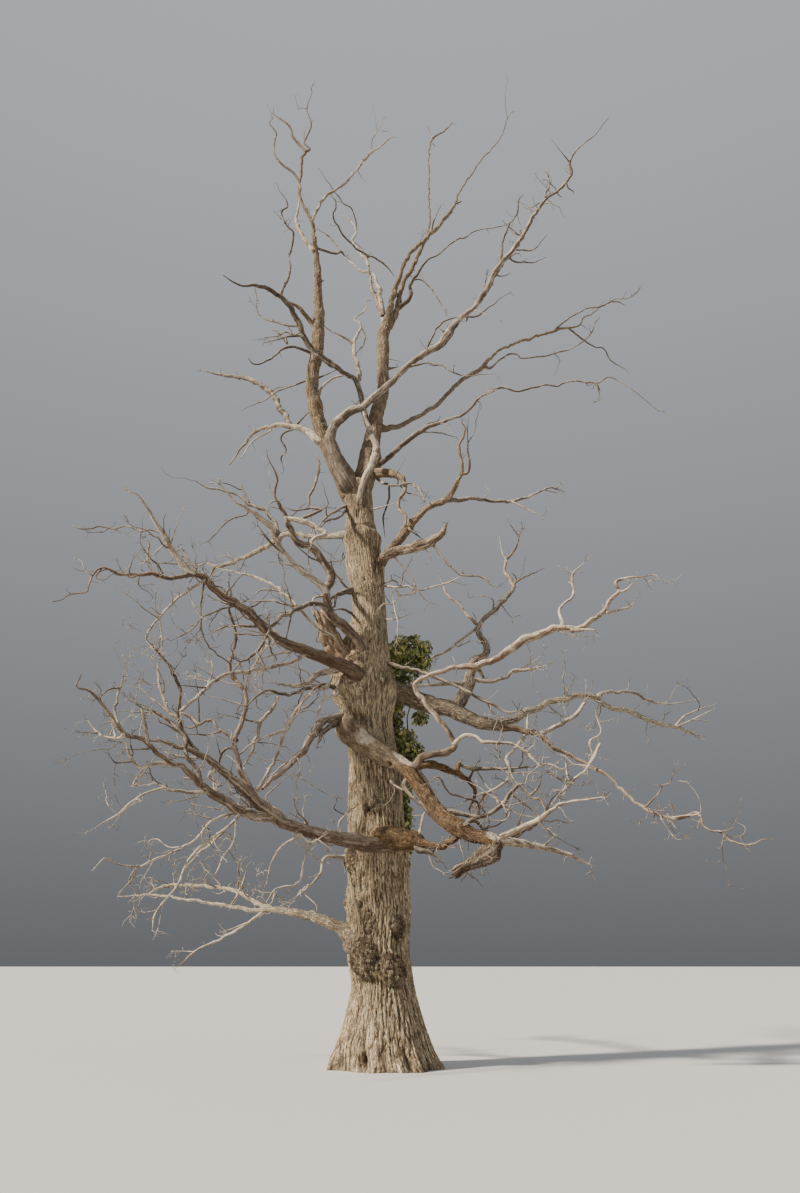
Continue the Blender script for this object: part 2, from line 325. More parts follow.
    ("pale", (-1.63, -1.12, 7.64), 28, [(47, -154, -18, 13)]),
    ("dark", (-1.77, -1.22, 7.53), 22, [(44, 115, -65, 18)]),
    ("pale", (-1.62, -1.1, 7.67), 28, [(50, 35, -39, 23), (34, 29, -21, 22), (45, 40, -46, 19)]),
    ("dark", (-2.1, -1.55, 7.06), 18, [(40, 105, 70, 8)]),
    ("pale", (-2.15, -1.7, 6.78), 23, [(37, 127, -54, 20), (17, 147, -33, 19), (28, 125, -55, 18)]),
    ("dark", (-0.72, -0.08, 8.45), 70, [(56, -117, -26, 48), (41, -116, -37, 38)]),
    ("dark", (-0.99, -0.76, 8.04), 42, [(20, 106, -64, 29)]),
    ("pale", (-1.17, -0.83, 8.02), 25, [(25, -159, -18, 19), (42, -58, -70, 15)]),
    ("dark", (-0.71, -0.08, 7.97), 29, [(39, -114, -8, 22), (35, -118, -21, 19)]),
    ("lichen", (-0.75, -0.08, 8.44), 30, [(27, -122, 13, 24), (43, -119, 24, 21), (26, -95, 37, 8)]),
    ("dark", (-3.87, -2.61, 8.46), 19, [(30, 162, 25, 16), (17, 163, -3, 15), (38, 164, 21, 13), (20, 162, -2, 13),
        (34, 164, 18, 16), (16, 163, -12, 13), (24, 164, 7, 13), (24, 163, 31, 6)]),
    ("dark", (-3.97, -2.33, 7.79), 24, [(41, 153, 52, 19), (41, 119, 73, 18), (17, 147, 60, 10)]),
    ("dark", (-4.2, -2.22, 8.11), 11, [(14, 162, 18, 11), (24, 157, 51, 6)]),
    ("dark", (-3.62, -2.24, 8.06), 16, [(65, 159, 11, 7)]),
    ("dark", (-3.38, -2.05, 7.95), 19, [(66, 152, 58, 14), (9, 161, 33, 8)]),
    ("pale", (-3.24, -1.96, 7.85), 27, [(50, -146, -42, 24), (83, -136, -55, 18), (33, -111, -66, 14), (48, -31,
        -44, 21)]),
    ("lichen", (-3.83, -2.42, 7.01), 14, [(68, -54, -65, 12), (12, -94, -65, 11)]),
    ("dark", (-3.83, -2.42, 7), 14, [(21, 150, 49, 8)]),
    ("dark", (-2.32, -1.41, 7.21), 31, [(67, 161, 5, 22), (33, 158, -15, 8)]),
    ("dark", (-2.63, -1.63, 7.51), 20, [(19, -163, -13, 17), (53, -160, -30, 16), (28, -149, -56, 14), (43, -157,
        -39, 6)]),
    ("dark", (-2.77, -1.7, 7.59), 21, [(17, 125, -56, 22), (29, 59, -55, 25), (24, 82, -62, 27), (32, 112, -59,
        27)]),
    ("dark", (-3.23, -1.95, 7.82), 18, [(63, 104, -71, 16), (41, 61, -68, 16), (57, 25, -37, 21)]),
    ("lichen", (-3.41, -2.07, 7.88), 12, [(24, -121, -66, 11), (49, -41, -62, 10), (29, -33, -51, 8)]),
    ("dark", (-2.8, -1.72, 7.62), 13, [(50, 126, 74, 7)]),
    ("dark", (-3.21, -1.62, 6.87), 13, [(20, 164, 15, 7)]),
    ("pale", (-1.75, -1.12, 6.95), 27, [(10, 60, -62, 24), (7, 148, -37, 21), (13, 158, 11, 19), (46, 157, -8,
        11)]),
    ("pale", (-0.96, -0.55, 6.69), 75, [(48, -146, -27, 51), (37, -142, -38, 50), (42, -146, -9, 30)]),
    ("dark", (-0.76, -0.11, 6.24), 53, [(24, -119, 15, 49), (37, -132, 5, 42), (97, -144, -19, 29), (29, -150, 5,
        23), (27, -148, -35, 19), (24, -142, -49, 16)]),
    ("pale", (-1.09, -0.85, 6.25), 29, [(17, -28, 52, 22)]),
    ("pale", (-1.93, -1.22, 5.94), 28, [(19, 134, -57, 27), (35, 148, -41, 34), (54, 128, -60, 23), (34, 140, -51,
        18)]),
    ("dark", (-2.25, -1, 5.54), 23, [(72, -162, 8, 6)]),
    ("pale", (-2.12, -1.62, 4.26), 33, [(44, 27, 62, 27), (97, 34, 68, 32), (60, 22, 57, 30)]),
    ("dark", (-1.55, -1.29, 5.7), 21, [(19, -21, 10, 19), (22, -29, 34, 10)]),
    ("pale", (-1.7, -1.37, 5.34), 28, [(75, -149, -28, 17), (19, -141, -42, 12)]),
    ("pale", (-0.93, -0.55, 6.2), 28, [(41, -135, -33, 24), (73, -103, -55, 17)]),
    ("pale", (-1.13, -0.74, 6.05), 18, [(17, -118, 73, 13)]),
    ("dark", (-0.86, -0.11, 5.77), 66, [(55, -115, -24, 53), (23, -112, -35, 47), (50, -103, -45, 12)]),
    ("pale", (-1.51, -1.38, 4.8), 19, [(24, -50, -70, 16), (15, -133, -69, 16), (35, -62, -73, 8)]),
    ("pale", (-3.28, -2.55, 4.47), 34, [(37, -158, -1, 31), (20, -156, -20, 27), (17, -149, 42, 24), (39, -133, 58,
        15)]),
    ("dark", (-3.88, -2.81, 4.47), 17, [(27, -157, -8, 12), (12, -152, 42, 7)]),
    ("dark", (-2.86, -2.15, 4.13), 30, [(63, 162, 5, 26), (64, 162, 24, 10)]),
    ("pale", (-3.6, -1.91, 4.23), 20, [(39, -153, -23, 19), (45, -145, -45, 16), (46, -148, -35, 7)]),
    ("dark", (-3.82, -1.84, 4.36), 19, [(31, -115, 62, 10)]),
    ("pale", (-4.04, -2.15, 3.95), 16, [(43, 157, -48, 8)]),
    ("dark", (-2.94, -2.23, 4.23), 37, [(19, -180, 77, 32), (28, 178, 54, 32), (42, 178, 68, 34), (63, 179, 38, 25),
        (21, 179, 19, 20), (38, 179, 34, 9)]),
    ("lichen", (-3.39, -2.28, 5.33), 29, [(15, 155, 14, 28), (11, 151, 43, 28), (94, 134, 60, 21), (19, 89, 69,
        14)]),
    ("dark", (-3.56, -2.2, 5.4), 25, [(97, 154, 37, 9)]),
    ("dark", (-3.47, -2.62, 5.92), 18, [(41, 55, 61, 8)]),
    ("dark", (-3.79, -2.21, 5.41), 19, [(65, 166, 5, 9)]),
    ("dark", (-2.56, -1.47, 5.11), 29, [(48, 154, 33, 27), (17, 145, 48, 26), (16, 157, 9, 25), (14, 154, -15, 25),
        (31, 153, 37, 25), (20, 157, 18, 27)]),
    ("dark", (-3.28, -1.11, 5.49), 18, [(20, 153, -15, 17), (17, 156, 12, 9)]),
    ("dark", (-2.84, -1.33, 5.31), 19, [(22, -158, -22, 17), (41, -158, -3, 15)]),
    ("dark", (-2.54, -1.49, 4.95), 25, [(16, 160, 13, 21), (13, 157, -26, 23), (36, 133, -60, 29)]),
    ("dark", (-2.83, -1.36, 4.87), 20, [(15, -120, 61, 12)]),
    ("pale", (-2.99, -2.01, 5.94), 19, [(30, 77, 66, 14), (35, 126, 63, 6)]),
    ("dark", (-3.04, -2.06, 5.86), 20, [(41, -156, 1, 13)]),
    ("dark", (-2.47, -1.41, 5.73), 19, [(90, 157, 19, 9)]),
    ("lichen", (-3.68, -2.84, 4.77), 33, [(56, -121, 66, 23), (20, -156, 25, 15)]),
    ("lichen", (-4.08, -3.05, 4.95), 31, [(38, 139, 60, 25), (84, 85, 71, 8)]),
    ("dark", (-4.21, -2.8, 5.65), 15, [(17, -160, -14, 14), (19, -150, -49, 11)]),
    ("pale", (-4.01, -2.99, 4.86), 25, [(9, 157, -40, 23), (40, 162, 13, 19), (35, 158, 43, 8)]),
    ("dark", (-4.48, -2.83, 4.91), 14, [(25, -156, -3, 6)]),
    ("pale", (-4.15, -2.94, 4.82), 17, [(35, 138, 55, 8)]),
    ("dark", (-4.01, -2.93, 4.73), 18, [(27, 163, 12, 9)]),
    ("dark", (-3.63, -2.8, 4.68), 20, [(39, -156, -9, 8)]),
    ("dark", (-3.03, -2.04, 4.7), 23, [(55, 158, 9, 17), (24, 159, 25, 7)]),
    ("pale", (-2.81, -1.92, 4.55), 28, [(17, 144, -53, 25), (14, 28, -34, 16)]),
    ("pale", (-2.32, -1.73, 3.86), 26, [(24, -145, -11, 23), (34, -140, -24, 20), (44, -126, -45, 19), (56, -135,
        -30, 18), (48, -136, -21, 15), (33, -139, -1, 13), (18, -134, 19, 12), (29, -121, -40, 6)]),
    ("pale", (-3.6, -2.97, 2.91), 14, [(17, 137, -67, 12), (25, 159, -43, 6)]),
    ("dark", (-2.72, -2.03, 3.71), 16, [(54, 161, 14, 6)]),
    ("pale", (-2.37, -1.76, 3.88), 28, [(20, -116, -54, 24), (78, -134, -38, 20), (38, -121, -46, 19), (39, -102,
        -53, 18), (57, -119, -45, 14), (30, -84, -51, 6)]),
    ("pale", (-2.44, -1.89, 3.69), 19, [(55, 159, -40, 18), (25, 160, -29, 16)]),
    ("pale", (-3.17, -3, 2.39), 13, [(34, -92, -74, 6)]),
    ("pale", (-3.21, -3.09, 2.29), 11, [(17, 163, -7, 6)]),
    ("pale", (-2.42, -1.87, 3.71), 19, [(26, -68, -65, 17), (23, -110, -64, 16), (19, -142, -45, 14), (21, -105,
        -64, 12), (27, -131, -52, 6)]),
    ("pale", (-2.22, 0.43, 2.44), 30, [(55, 162, -32, 22), (90, 165, -24, 17), (46, 161, -37, 6)]),
    ("pale", (-2.53, 0.53, 2.25), 19, [(40, 162, -17, 8)]),
    ("pale", (-3.45, 0.79, 1.78), 13, [(41, 158, 3, 6)]),
    ("pale", (-2.8, 1.11, 2.81), 25, [(21, -40, 56, 22), (33, -59, 64, 7)]),
    ("pale", (-2.8, 1.11, 2.8), 21, [(28, -133, -53, 9)]),
    ("pale", (-2.46, 0.83, 2.64), 22, [(16, 39, -59, 22)]),
    ("pale", (-2.73, 1.09, 2.9), 15, [(19, 27, 26, 8)]),
    ("pale", (-1.21, -1.14, 3.53), 23, [(31, -149, -62, 19), (49, -124, -71, 17), (31, -164, -15, 16), (13, -162,
        -36, 15), (20, -147, -59, 8)]),
    ("pale", (-1.78, -1.45, 2.67), 14, [(19, -112, -70, 11), (8, -152, -41, 6)]),
    ("pale", (-1.39, -1.21, 3.6), 23, [(54, 154, -28, 18), (82, 130, -59, 7)]),
    ("pale", (-1.44, -1.23, 3.59), 28, [(25, -24, -38, 26), (30, -22, 22, 13)]),
    ("pale", (-0.74, -0.13, 3.33), 39, [(50, -136, -7, 25), (30, -97, -53, 24), (20, -121, -46, 24), (70, -135, -34,
        8)]),
    ("pale", (-1.4, -1, 2.71), 15, [(21, 147, -45, 7)]),
    ("pale", (-1.29, -0.9, 2.8), 15, [(13, -157, -40, 13), (38, -21, -46, 10), (9, -104, -75, 6)]),
    ("pale", (-0.8, -0.98, 3.65), 22, [(17, 94, 70, 21), (25, 35, 50, 19)]),
    ("dark", (-0.72, -0.85, 3.96), 17, [(23, -150, 23, 12), (12, -47, 51, 7)]),
    ("dark", (-2.24, -0.89, 16.16), 27, [(58, -56, 74, 25), (24, -159, 45, 20), (34, -143, 67, 18), (18, -17, 27,
        18), (48, -154, 57, 10)]),
    ("dark", (-2.32, -1.09, 16.92), 17, [(66, 154, 56, 8)]),
    ("dark", (-2.41, -1.16, 17.19), 16, [(14, 154, 47, 11)]),
    ("dark", (-0.6, 1.78, 18.68), 26, [(32, -146, 5, 26), (49, -139, 20, 24), (20, -131, 33, 23), (36, -121, 40,
        19), (17, -58, 40, 18), (12, -92, 48, 16), (22, -126, 35, 13)]),
    ("white", (-0.58, 1.59, 18.15), 51, [(29, 137, 71, 49), (70, 152, 59, 39), (31, 134, 73, 34), (24, 41, 70, 33),
        (33, 83, 78, 31), (84, 156, 55, 11)]),
    ("dark", (-0.95, 2, 19.82), 20, [(12, -82, 61, 17), (40, -125, 53, 16), (21, -150, 8, 16), (18, -142, 34, 15),
        (89, -138, 39, 7)]),
    ("dark", (-1.69, -0.6, 16.68), 32, [(69, 48, 24, 27), (22, 48, 42, 27), (13, 56, -3, 26)]),
    ("dark", (-1.17, -0.02, 17.13), 20, [(80, 146, 60, 17), (51, 154, 48, 16)]),
    ("peel", (3.3, -1.52, 7.09), 53, [(39, -19, -5, 22)]),
    ("pale", (4.14, -1.73, 7.74), 27, [(9, -26, -4, 27), (25, -31, 33, 9)]),
    ("pale", (3.91, -1.65, 7.37), 32, [(53, 20, 20, 18), (16, 22, 43, 9)]),
    ("pale", (3.14, -1.48, 7.2), 36, [(39, 92, 69, 27), (49, 29, 44, 24), (47, 77, 70, 22), (52, 29, 49, 10)]),
    ("pale", (3.48, -1.01, 8.34), 15, [(19, -154, 43, 8)]),
    ("pale", (5.79, 1.2, 6.02), 26, [(38, 28, 40, 22), (100, 23, 22, 10)]),
    ("pale", (5.8, 1.2, 6), 24, [(85, -23, 21, 9)]),
    ("pale", (4.17, 0.64, 6.33), 20, [(21, -153, -58, 16), (40, -75, -75, 15), (12, -154, -60, 14), (21, -163, -38,
        21), (27, -100, -75, 21)]),
    ("bark", (2.8, 2.28, 9.53), 30, [(14, -31, 46, 27), (71, -22, 18, 9)]),
    ("bark", (1.9, 1.34, 8.22), 42, [(38, 146, 49, 37), (44, 137, 57, 33)]),
    ("pale", (1.96, 1.39, 8.29), 36, [(102, -159, -41, 29), (41, -160, -30, 25), (40, -158, -39, 16)]),
    ("pale", (1.53, 0.4, 6.64), 49, [(40, -155, -2, 45), (69, -156, -12, 29)]),
    ("pale", (1.67, 0.49, 6.79), 49, [(27, -20, -16, 41), (39, -19, 6, 29), (22, -24, 31, 31), (26, -20, -4, 29),
        (43, -20, 10, 10)]),
    ("pale", (1.8, 0.64, 7.05), 50, [(21, 44, -45, 45)]),
    ("dark", (-0.15, -0.11, 6.94), 48, [(65, -35, -20, 36), (52, -23, -22, 31), (76, -15, -28, 29), (69, -11, -32,
        25), (18, -12, -22, 25), (17, -9, 3, 23)]),
    ("pale", (2.78, -0.44, 5.46), 46, [(87, 23, 28, 41), (45, 29, 48, 48)]),
    ("pale", (3.18, -0.66, 5.08), 18, [(42, -98, -75, 18), (16, -47, -67, 21)]),
    ("pale", (3.77, -0.86, 5.19), 18, [(58, -152, -55, 24), (39, -160, -36, 24), (59, -158, -43, 17)]),
    ("brown", (2.55, -1.52, 3.34), 21, [(32, -32, 36, 8)]),
    ("dark", (0.3, -0.95, 4.45), 35, [(97, -36, -41, 37), (61, -31, -25, 24)]),
    ("dark", (1.43, -1.56, 3.77), 33, [(36, 23, -43, 34)]),
    ("dark", (1.06, -1.36, 3.92), 46, [(53, -7, -8, 37), (40, -8, 31, 38), (42, -10, 45, 29), (32, -9, -44, 25),
        (12, -8, -10, 23), (20, -20, -69, 18)]),
    ("pale", (1.87, -1.47, 4.07), 33, [(11, -145, 52, 25)]),
    ("pale", (2.21, -1.52, 4.34), 25, [(14, -158, 43, 10)]),
    ("pale", (2.23, -1.52, 4.34), 25, [(13, -19, 17, 10)]),
    ("dark", (2.4, -1.55, 4.17), 22, [(18, -34, 41, 19), (16, -55, 60, 12)]),
    ("pale", (1.92, -1.47, 4.06), 20, [(21, -32, -52, 16), (10, -133, -67, 12), (13, -160, -31, 12), (25, -162, 5,
        8)]),
    ("dark", (1.52, -1.42, 3.87), 29, [(20, -89, 66, 22), (52, -155, 14, 15), (35, -144, 43, 16), (20, -153, -30,
        8)]),
    ("rust", (1.22, -0.64, 4.72), 62, [(21, -33, 64, 40)]),
    ("dark", (1.3, -0.64, 4.86), 41, [(26, -19, -19, 39), (118, -19, -2, 17)]),
    ("dark", (1.44, -0.54, 4.61), 27, [(21, -32, 53, 28)]),
    ("pale", (2.66, 0.14, 6.02), 25, [(54, -113, -63, 26), (77, -142, -46, 27), (24, -65, -57, 25), (17, -123, -58,
        25), (18, -143, -42, 25), (44, -148, -27, 26), (22, -151, -14, 12)]),
    ("rust", (1.7, -0.9, 4.31), 29, [(21, 145, -50, 26)]),
    ("pale", (1.19, -0.97, 5.16), 39, [(18, -25, 39, 34), (14, -18, 10, 36), (29, -20, -29, 33), (52, -19, -11, 26),
        (29, -21, -31, 27), (27, -30, -50, 17)]),
    ("pale", (2.33, -1.38, 4.98), 20, [(20, 26, 30, 9)]),
    ("pale", (1.57, -0.55, 4.82), 25, [(50, -41, -54, 14)]),
    ("pale", (2.6, -1.08, 4.72), 17, [(8, -30, 30, 17), (14, -23, -1, 19), (26, -25, -24, 14), (6, -24, 20, 9)]),
    ("pale", (2.96, -1.1, 4.8), 12, [(49, 147, -31, 12)]),
    ("dark", (2.77, -1.1, 4.65), 17, [(25, -22, -34, 17), (37, -20, -20, 7)]),
    ("dark", (0.55, -0.82, 3.39), 55, [(22, -18, -17, 42), (18, -22, -36, 17)]),
    ("pale", (0.55, -0.76, 3.63), 26, [(42, 56, 65, 17), (7, 22, 30, 9)]),
    ("pale", (-0.06, -0.12, 4.76), 27, [(52, -61, -30, 28), (26, -49, -21, 31)]),
    ("pale", (-0.6, -0.27, 10.38), 50, [(26, -30, 81, 62), (28, 0, 69, 74), (34, 15, 71, 78), (36, 45, 76, 76), (32,
        113, 78, 74), (98, 157, 72, 62)]),
]

# ---------------------------------------------------------------- noise
_rng = np.random.default_rng(SEED)
_perm = _rng.permutation(256)
_perm = np.concatenate([_perm, _perm, _perm[:8]])
_grad = _rng.normal(size=(256, 3))
_grad /= np.linalg.norm(_grad, axis=1)[:, None]


def noise(p):
    """Smooth noise, about -0.7 to 0.7, at points p of shape (n, 3)."""
    p = np.asarray(p, float)
    i = np.floor(p).astype(int)
    f = p - i
    u = f * f * f * (f * (f * 6 - 15) + 10)
    i &= 255
    out = 0.0
    for dx in (0, 1):
        wx = u[:, 0] if dx else 1 - u[:, 0]
        a = _perm[(i[:, 0] + dx) & 255]
        for dy in (0, 1):
            wy = u[:, 1] if dy else 1 - u[:, 1]
            b = _perm[(a + i[:, 1] + dy) & 255]
            for dz in (0, 1):
                wz = u[:, 2] if dz else 1 - u[:, 2]
                g = _grad[_perm[(b + i[:, 2] + dz) & 255]]
                d = g[:, 0] * (f[:, 0] - dx) + g[:, 1] * (f[:, 1] - dy) + g[:, 2] * (f[:, 2] - dz)
                out = out + wx * wy * wz * d
    return out


_jit = _rng.random((256, 3))


def cells(p):
    """Cellular pattern at points p: distance to the nearest seed, how much farther the second lies, a value per cell."""
    p = np.asarray(p, float)
    i = np.floor(p).astype(int)
    f = p - i
    best = np.full(len(p), 9.0)
    second = np.full(len(p), 9.0)
    value = np.zeros(len(p))
    for dx in (-1, 0, 1):
        a = _perm[(i[:, 0] + dx) & 255]
        for dy in (-1, 0, 1):
            b = _perm[(a + i[:, 1] + dy) & 255]
            for dz in (-1, 0, 1):
                h = _perm[(b + i[:, 2] + dz) & 255]
                j = _jit[h]
                d = (j[:, 0] + dx - f[:, 0]) ** 2 + (j[:, 1] + dy - f[:, 1]) ** 2 + (j[:, 2] + dz - f[:, 2]) ** 2
                closer = d < best
                second = np.where(closer, best, np.minimum(second, d))
                value = np.where(closer, h / 255.0, value)
                best = np.minimum(best, d)
    best, second = np.sqrt(best), np.sqrt(second)
    return best, second - best, value


def plates(p, long):
    """Long cells: p in cell widths, with the long way squeezed. Distance to the cell's border in widths, a value per cell."""
    p = np.asarray(p, float)
    i = np.floor(p).astype(int)
    f = p - i
    n = len(p)
    best, second = np.full(n, 9.0), np.full(n, 9.0)
    A, B = np.zeros((n, 3)), np.zeros((n, 3))
    value = np.zeros(n)
    for dx in (-1, 0, 1):
        a = _perm[(i[:, 0] + dx) & 255]
        for dy in (-1, 0, 1):
            b = _perm[(a + i[:, 1] + dy) & 255]
            for dz in (-1, 0, 1):
                h = _perm[(b + i[:, 2] + dz) & 255]
                q = _jit[h] + (dx, dy, dz) - f
                d = (q * q).sum(1)
                first = d < best
                next_ = ~first & (d < second)
                B = np.where(first[:, None], A, np.where(next_[:, None], q, B))
                second = np.where(first, best, np.where(next_, d, second))
                A = np.where(first[:, None], q, A)
                best = np.where(first, d, best)
                value = np.where(first, h / 255.0, value)
    m = B - A
    size = np.linalg.norm(m, axis=1) + 1e-9
    away = (second - best) / (2 * size)
    m /= size[:, None]
    return away / np.sqrt(m[:, 0] ** 2 + m[:, 1] ** 2 + (m[:, 2] / long) ** 2 + 1e-4), value


def step(x, a, b):
    t = np.clip((x - a) / (b - a), 0, 1)
    return t * t * (3 - 2 * t)


# ---------------------------------------------------------------- meshes
def add_mesh(name, verts, faces, attrs, material, replaces=(), smooth=True):
    me = bpy.data.meshes.new(name)
    me.from_pydata(np.asarray(verts, float).tolist(), [], [list(f) for f in faces])
    me.update()
    if smooth:
        me.polygons.foreach_set("use_smooth", [True] * len(me.polygons))
    for key, data in attrs.items():
        data = np.asarray(data, np.float32)
        if data.ndim == 2:
            at = me.attributes.new(key, "FLOAT_VECTOR", "POINT")
            at.data.foreach_set("vector", data.ravel())
        else:
            at = me.attributes.new(key, "FLOAT", "POINT")
            at.data.foreach_set("value", data)
    me.materials.append(material)
    ob = bpy.data.objects.new(name, me)
    bpy.context.scene.collection.objects.link(ob)
    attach(ob, "root")
    for node in replaces:
        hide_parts(node)
    return ob


def grid_faces(rings, around, start=0):
    i = np.arange(rings - 1)[:, None] * around
    k = np.arange(around)[None, :]
    a = i + k
    b = i + (k + 1) % around
    f = np.stack([a, b, b + around, a + around], -1).reshape(-1, 4) + start
    return f.tolist()


# ---------------------------------------------------------------- limbs as paths
def walk(at, root, legs):
    """Stations of a limb: its legs (length cm, bearing, rise, radius mm) walked from its root."""
    p = np.array(at, float)
    pts, rad = [p.copy()], [root / 1000]
    for length, bearing, rise, r in legs:
        b, e = math.radians(bearing), math.radians(rise)
        p = p + length / 100 * np.array([math.cos(e) * math.cos(b), math.cos(e) * math.sin(b), math.sin(e)])
        pts.append(p.copy())
        rad.append(r / 1000)
    return np.array(pts), np.array(rad)


def smooth_path(pts, rad, spacing):
    """A rounded path through the stations, in steps of about `spacing`."""
    P = np.vstack([2 * pts[0] - pts[1], pts, 2 * pts[-1] - pts[-2]])
    out, rr = [], []
    for i in range(1, len(P) - 2):
        p0, p1, p2, p3 = P[i - 1], P[i], P[i + 1], P[i + 2]
        L = np.linalg.norm(p2 - p1)
        n = max(1, int(round(L / spacing)))
        d0 = max(np.linalg.norm(p1 - p0), 1e-6) ** 0.5
        d1 = max(L, 1e-6) ** 0.5
        d2 = max(np.linalg.norm(p3 - p2), 1e-6) ** 0.5
        m1 = (p2 - p1) + d1 * ((p1 - p0) / d0 - (p2 - p0) / (d0 + d1))
        m2 = (p2 - p1) + d1 * ((p3 - p2) / d2 - (p3 - p1) / (d1 + d2))
        for k in range(n):
            t = k / n
            h00, h10 = 2 * t ** 3 - 3 * t ** 2 + 1, t ** 3 - 2 * t ** 2 + t
            h01, h11 = -2 * t ** 3 + 3 * t ** 2, t ** 3 - t ** 2
            out.append(h00 * p1 + h10 * m1 + h01 * p2 + h11 * m2)
            s = t * t * (3 - 2 * t) * 0.5 + t * 0.5
            rr.append(rad[i - 1] + (rad[i] - rad[i - 1]) * s)
    out.append(pts[-1])
    rr.append(rad[-1])
    return np.array(out), np.array(rr)


def frames(P, up=None):
    """Direction and two cross directions along a path, without twist."""
    d = np.gradient(P, axis=0)
    d /= np.maximum(np.linalg.norm(d, axis=1)[:, None], 1e-9)
    s = np.cross([0, 0, 1.0], d[0])
    if np.linalg.norm(s) < 0.05:
        s = np.array([1.0, 0, 0])
    S = np.empty_like(P)
    for i in range(len(P)):
        s = s - d[i] * s.dot(d[i])
        s /= np.linalg.norm(s)
        S[i] = s
    return d, S, np.cross(d, S)


# kinds of wood: bark relief (metres at full depth), width of its plates and their length in widths, lumpiness,
# grain twist in turns for each metre, knots for each metre, splits
KINDS = {
    "bark":      dict(depth=0.012, gap=0.050, long=3.6, lump=0.055, twist=0.02, knots=1.4, split=0.10, rough=0.006),
    "palebark":  dict(depth=0.011, gap=0.050, long=3.4, lump=0.075, twist=0.04, knots=1.6, split=0.12, rough=0.006),
    "lichen":    dict(depth=0.008, gap=0.036, long=3.0, lump=0.09, twist=0.05, knots=1.8, split=0.10, rough=0.004),
    "dark":      dict(depth=0.006, gap=0.034, long=5.0, lump=0.10, twist=0.08, knots=1.9, split=0.22, rough=0.003),
    "brown":     dict(depth=0.006, gap=0.036, long=5.0, lump=0.11, twist=0.09, knots=1.9, split=0.28, rough=0.004),
    "two":      dict(depth=0.0045, gap=0.036, long=8.0, lump=0.07, twist=0.07, knots=1.4, split=0.25),
    "rust":      dict(depth=0.015, gap=0.048, long=3.0, lump=0.12, twist=0.06, knots=1.8, split=0.25, rough=0.012),
    "rustdark":  dict(depth=0.007, gap=0.038, long=5.0, lump=0.10, twist=0.08, knots=1.8, split=0.30, rough=0.005),
    "pink":      dict(depth=0.007, gap=0.040, long=6.0, lump=0.12, twist=0.14, knots=1.6, split=0.45, rough=0.008),
    "pale":     dict(depth=0.003, gap=0.034, long=9.0, lump=0.09, twist=0.14, knots=1.5, split=0.35),
    "white":    dict(depth=0.003, gap=0.036, long=9.0, lump=0.10, twist=0.20, knots=1.3, split=0.45),
    "peel":     dict(depth=0.005, gap=0.038, long=8.0, lump=0.11, twist=0.10, knots=1.5, split=0.45),
    "split":    dict(depth=0.018, gap=0.040, long=9.0, lump=0.14, twist=0.08, knots=0.8, split=0.70, rough=0.025),
    "splinter":  dict(depth=0.024, gap=0.045, long=7.0, lump=0.22, twist=0.10, knots=1.8, split=0.90, rough=0.045),
    "tan":      dict(depth=0.030, gap=0.080, long=3.0, lump=0.16, twist=0.05, knots=2.5, split=0.55, rough=0.07),
}
KINDS["umber"] = dict(KINDS["bark"])
BROKEN = {"tan": 1.0, "splinter": 1.1, "split": 1.2, "pink": 0.8}


class Hosts:
    """The trunk and every limb so far, to find what a new limb grows from."""

    def __init__(self):
        self.p, self.r, self.own = [], [], []

    def add(self, pts, rad, own):
        P, R = smooth_path(pts, rad, 0.05)
        self.p.append(P)
        self.r.append(R)
        self.own.append(np.full(len(P), own))

    def find(self, p0, root, own):
        P, R, O = np.vstack(self.p), np.concatenate(self.r), np.concatenate(self.own)
        gap = np.linalg.norm(P - p0, axis=1) - R
        gap[(O == own) | (R < 0.6 * root)] = 1e9
        i = int(np.argmin(gap))
        return P[i], float(R[i]), float(gap[i])


def rooted(pts, rad, host):
    """A limb's stations carried on into its host, and how far along them its host's skin lies."""
    q, big, gap = host
    if gap > 0.5 or pts[0][2] > 9.9 and rad[0] > 0.2:
        return pts, rad, 0.0
    if big < 1.3 * rad[0]:
        # it carries on where its host ends: begin inside it, a little thinner
        back = pts[0] - pts[1]
        back = back / (np.linalg.norm(back) + 1e-9)
        pts = np.vstack([pts[0] + back * min(0.6 * big, 0.12), pts])
        return pts, np.concatenate([[0.7 * min(big, rad[0])], [min(rad[0], 1.02 * big)], rad[1:]]), 0.0
    inward = q - pts[0]
    dist = np.linalg.norm(inward)
    if dist < 0.35 * big:
        back = pts[0] - pts[1]
        q = pts[0] + back / (np.linalg.norm(back) + 1e-9) * min(0.5 * big, 0.08)
    else:
        # leave the host at a slant, not square to it
        back = pts[0] - pts[min(2, len(pts) - 1)]
        back = back / (np.linalg.norm(back) + 1e-9)
        way = 0.85 * inward / dist + 0.36 * back
        q = pts[0] + way / np.linalg.norm(way) * dist * 0.9
    add = float(np.linalg.norm(q - pts[0]))
    if add < 0.01:
        return pts, rad, max(0.0, big - dist)
    pts = np.vstack([q, pts])
    rad = np.concatenate([[min(rad[0], 0.85 * big)], rad])
    return pts, rad, add + max(0.0, big - dist)


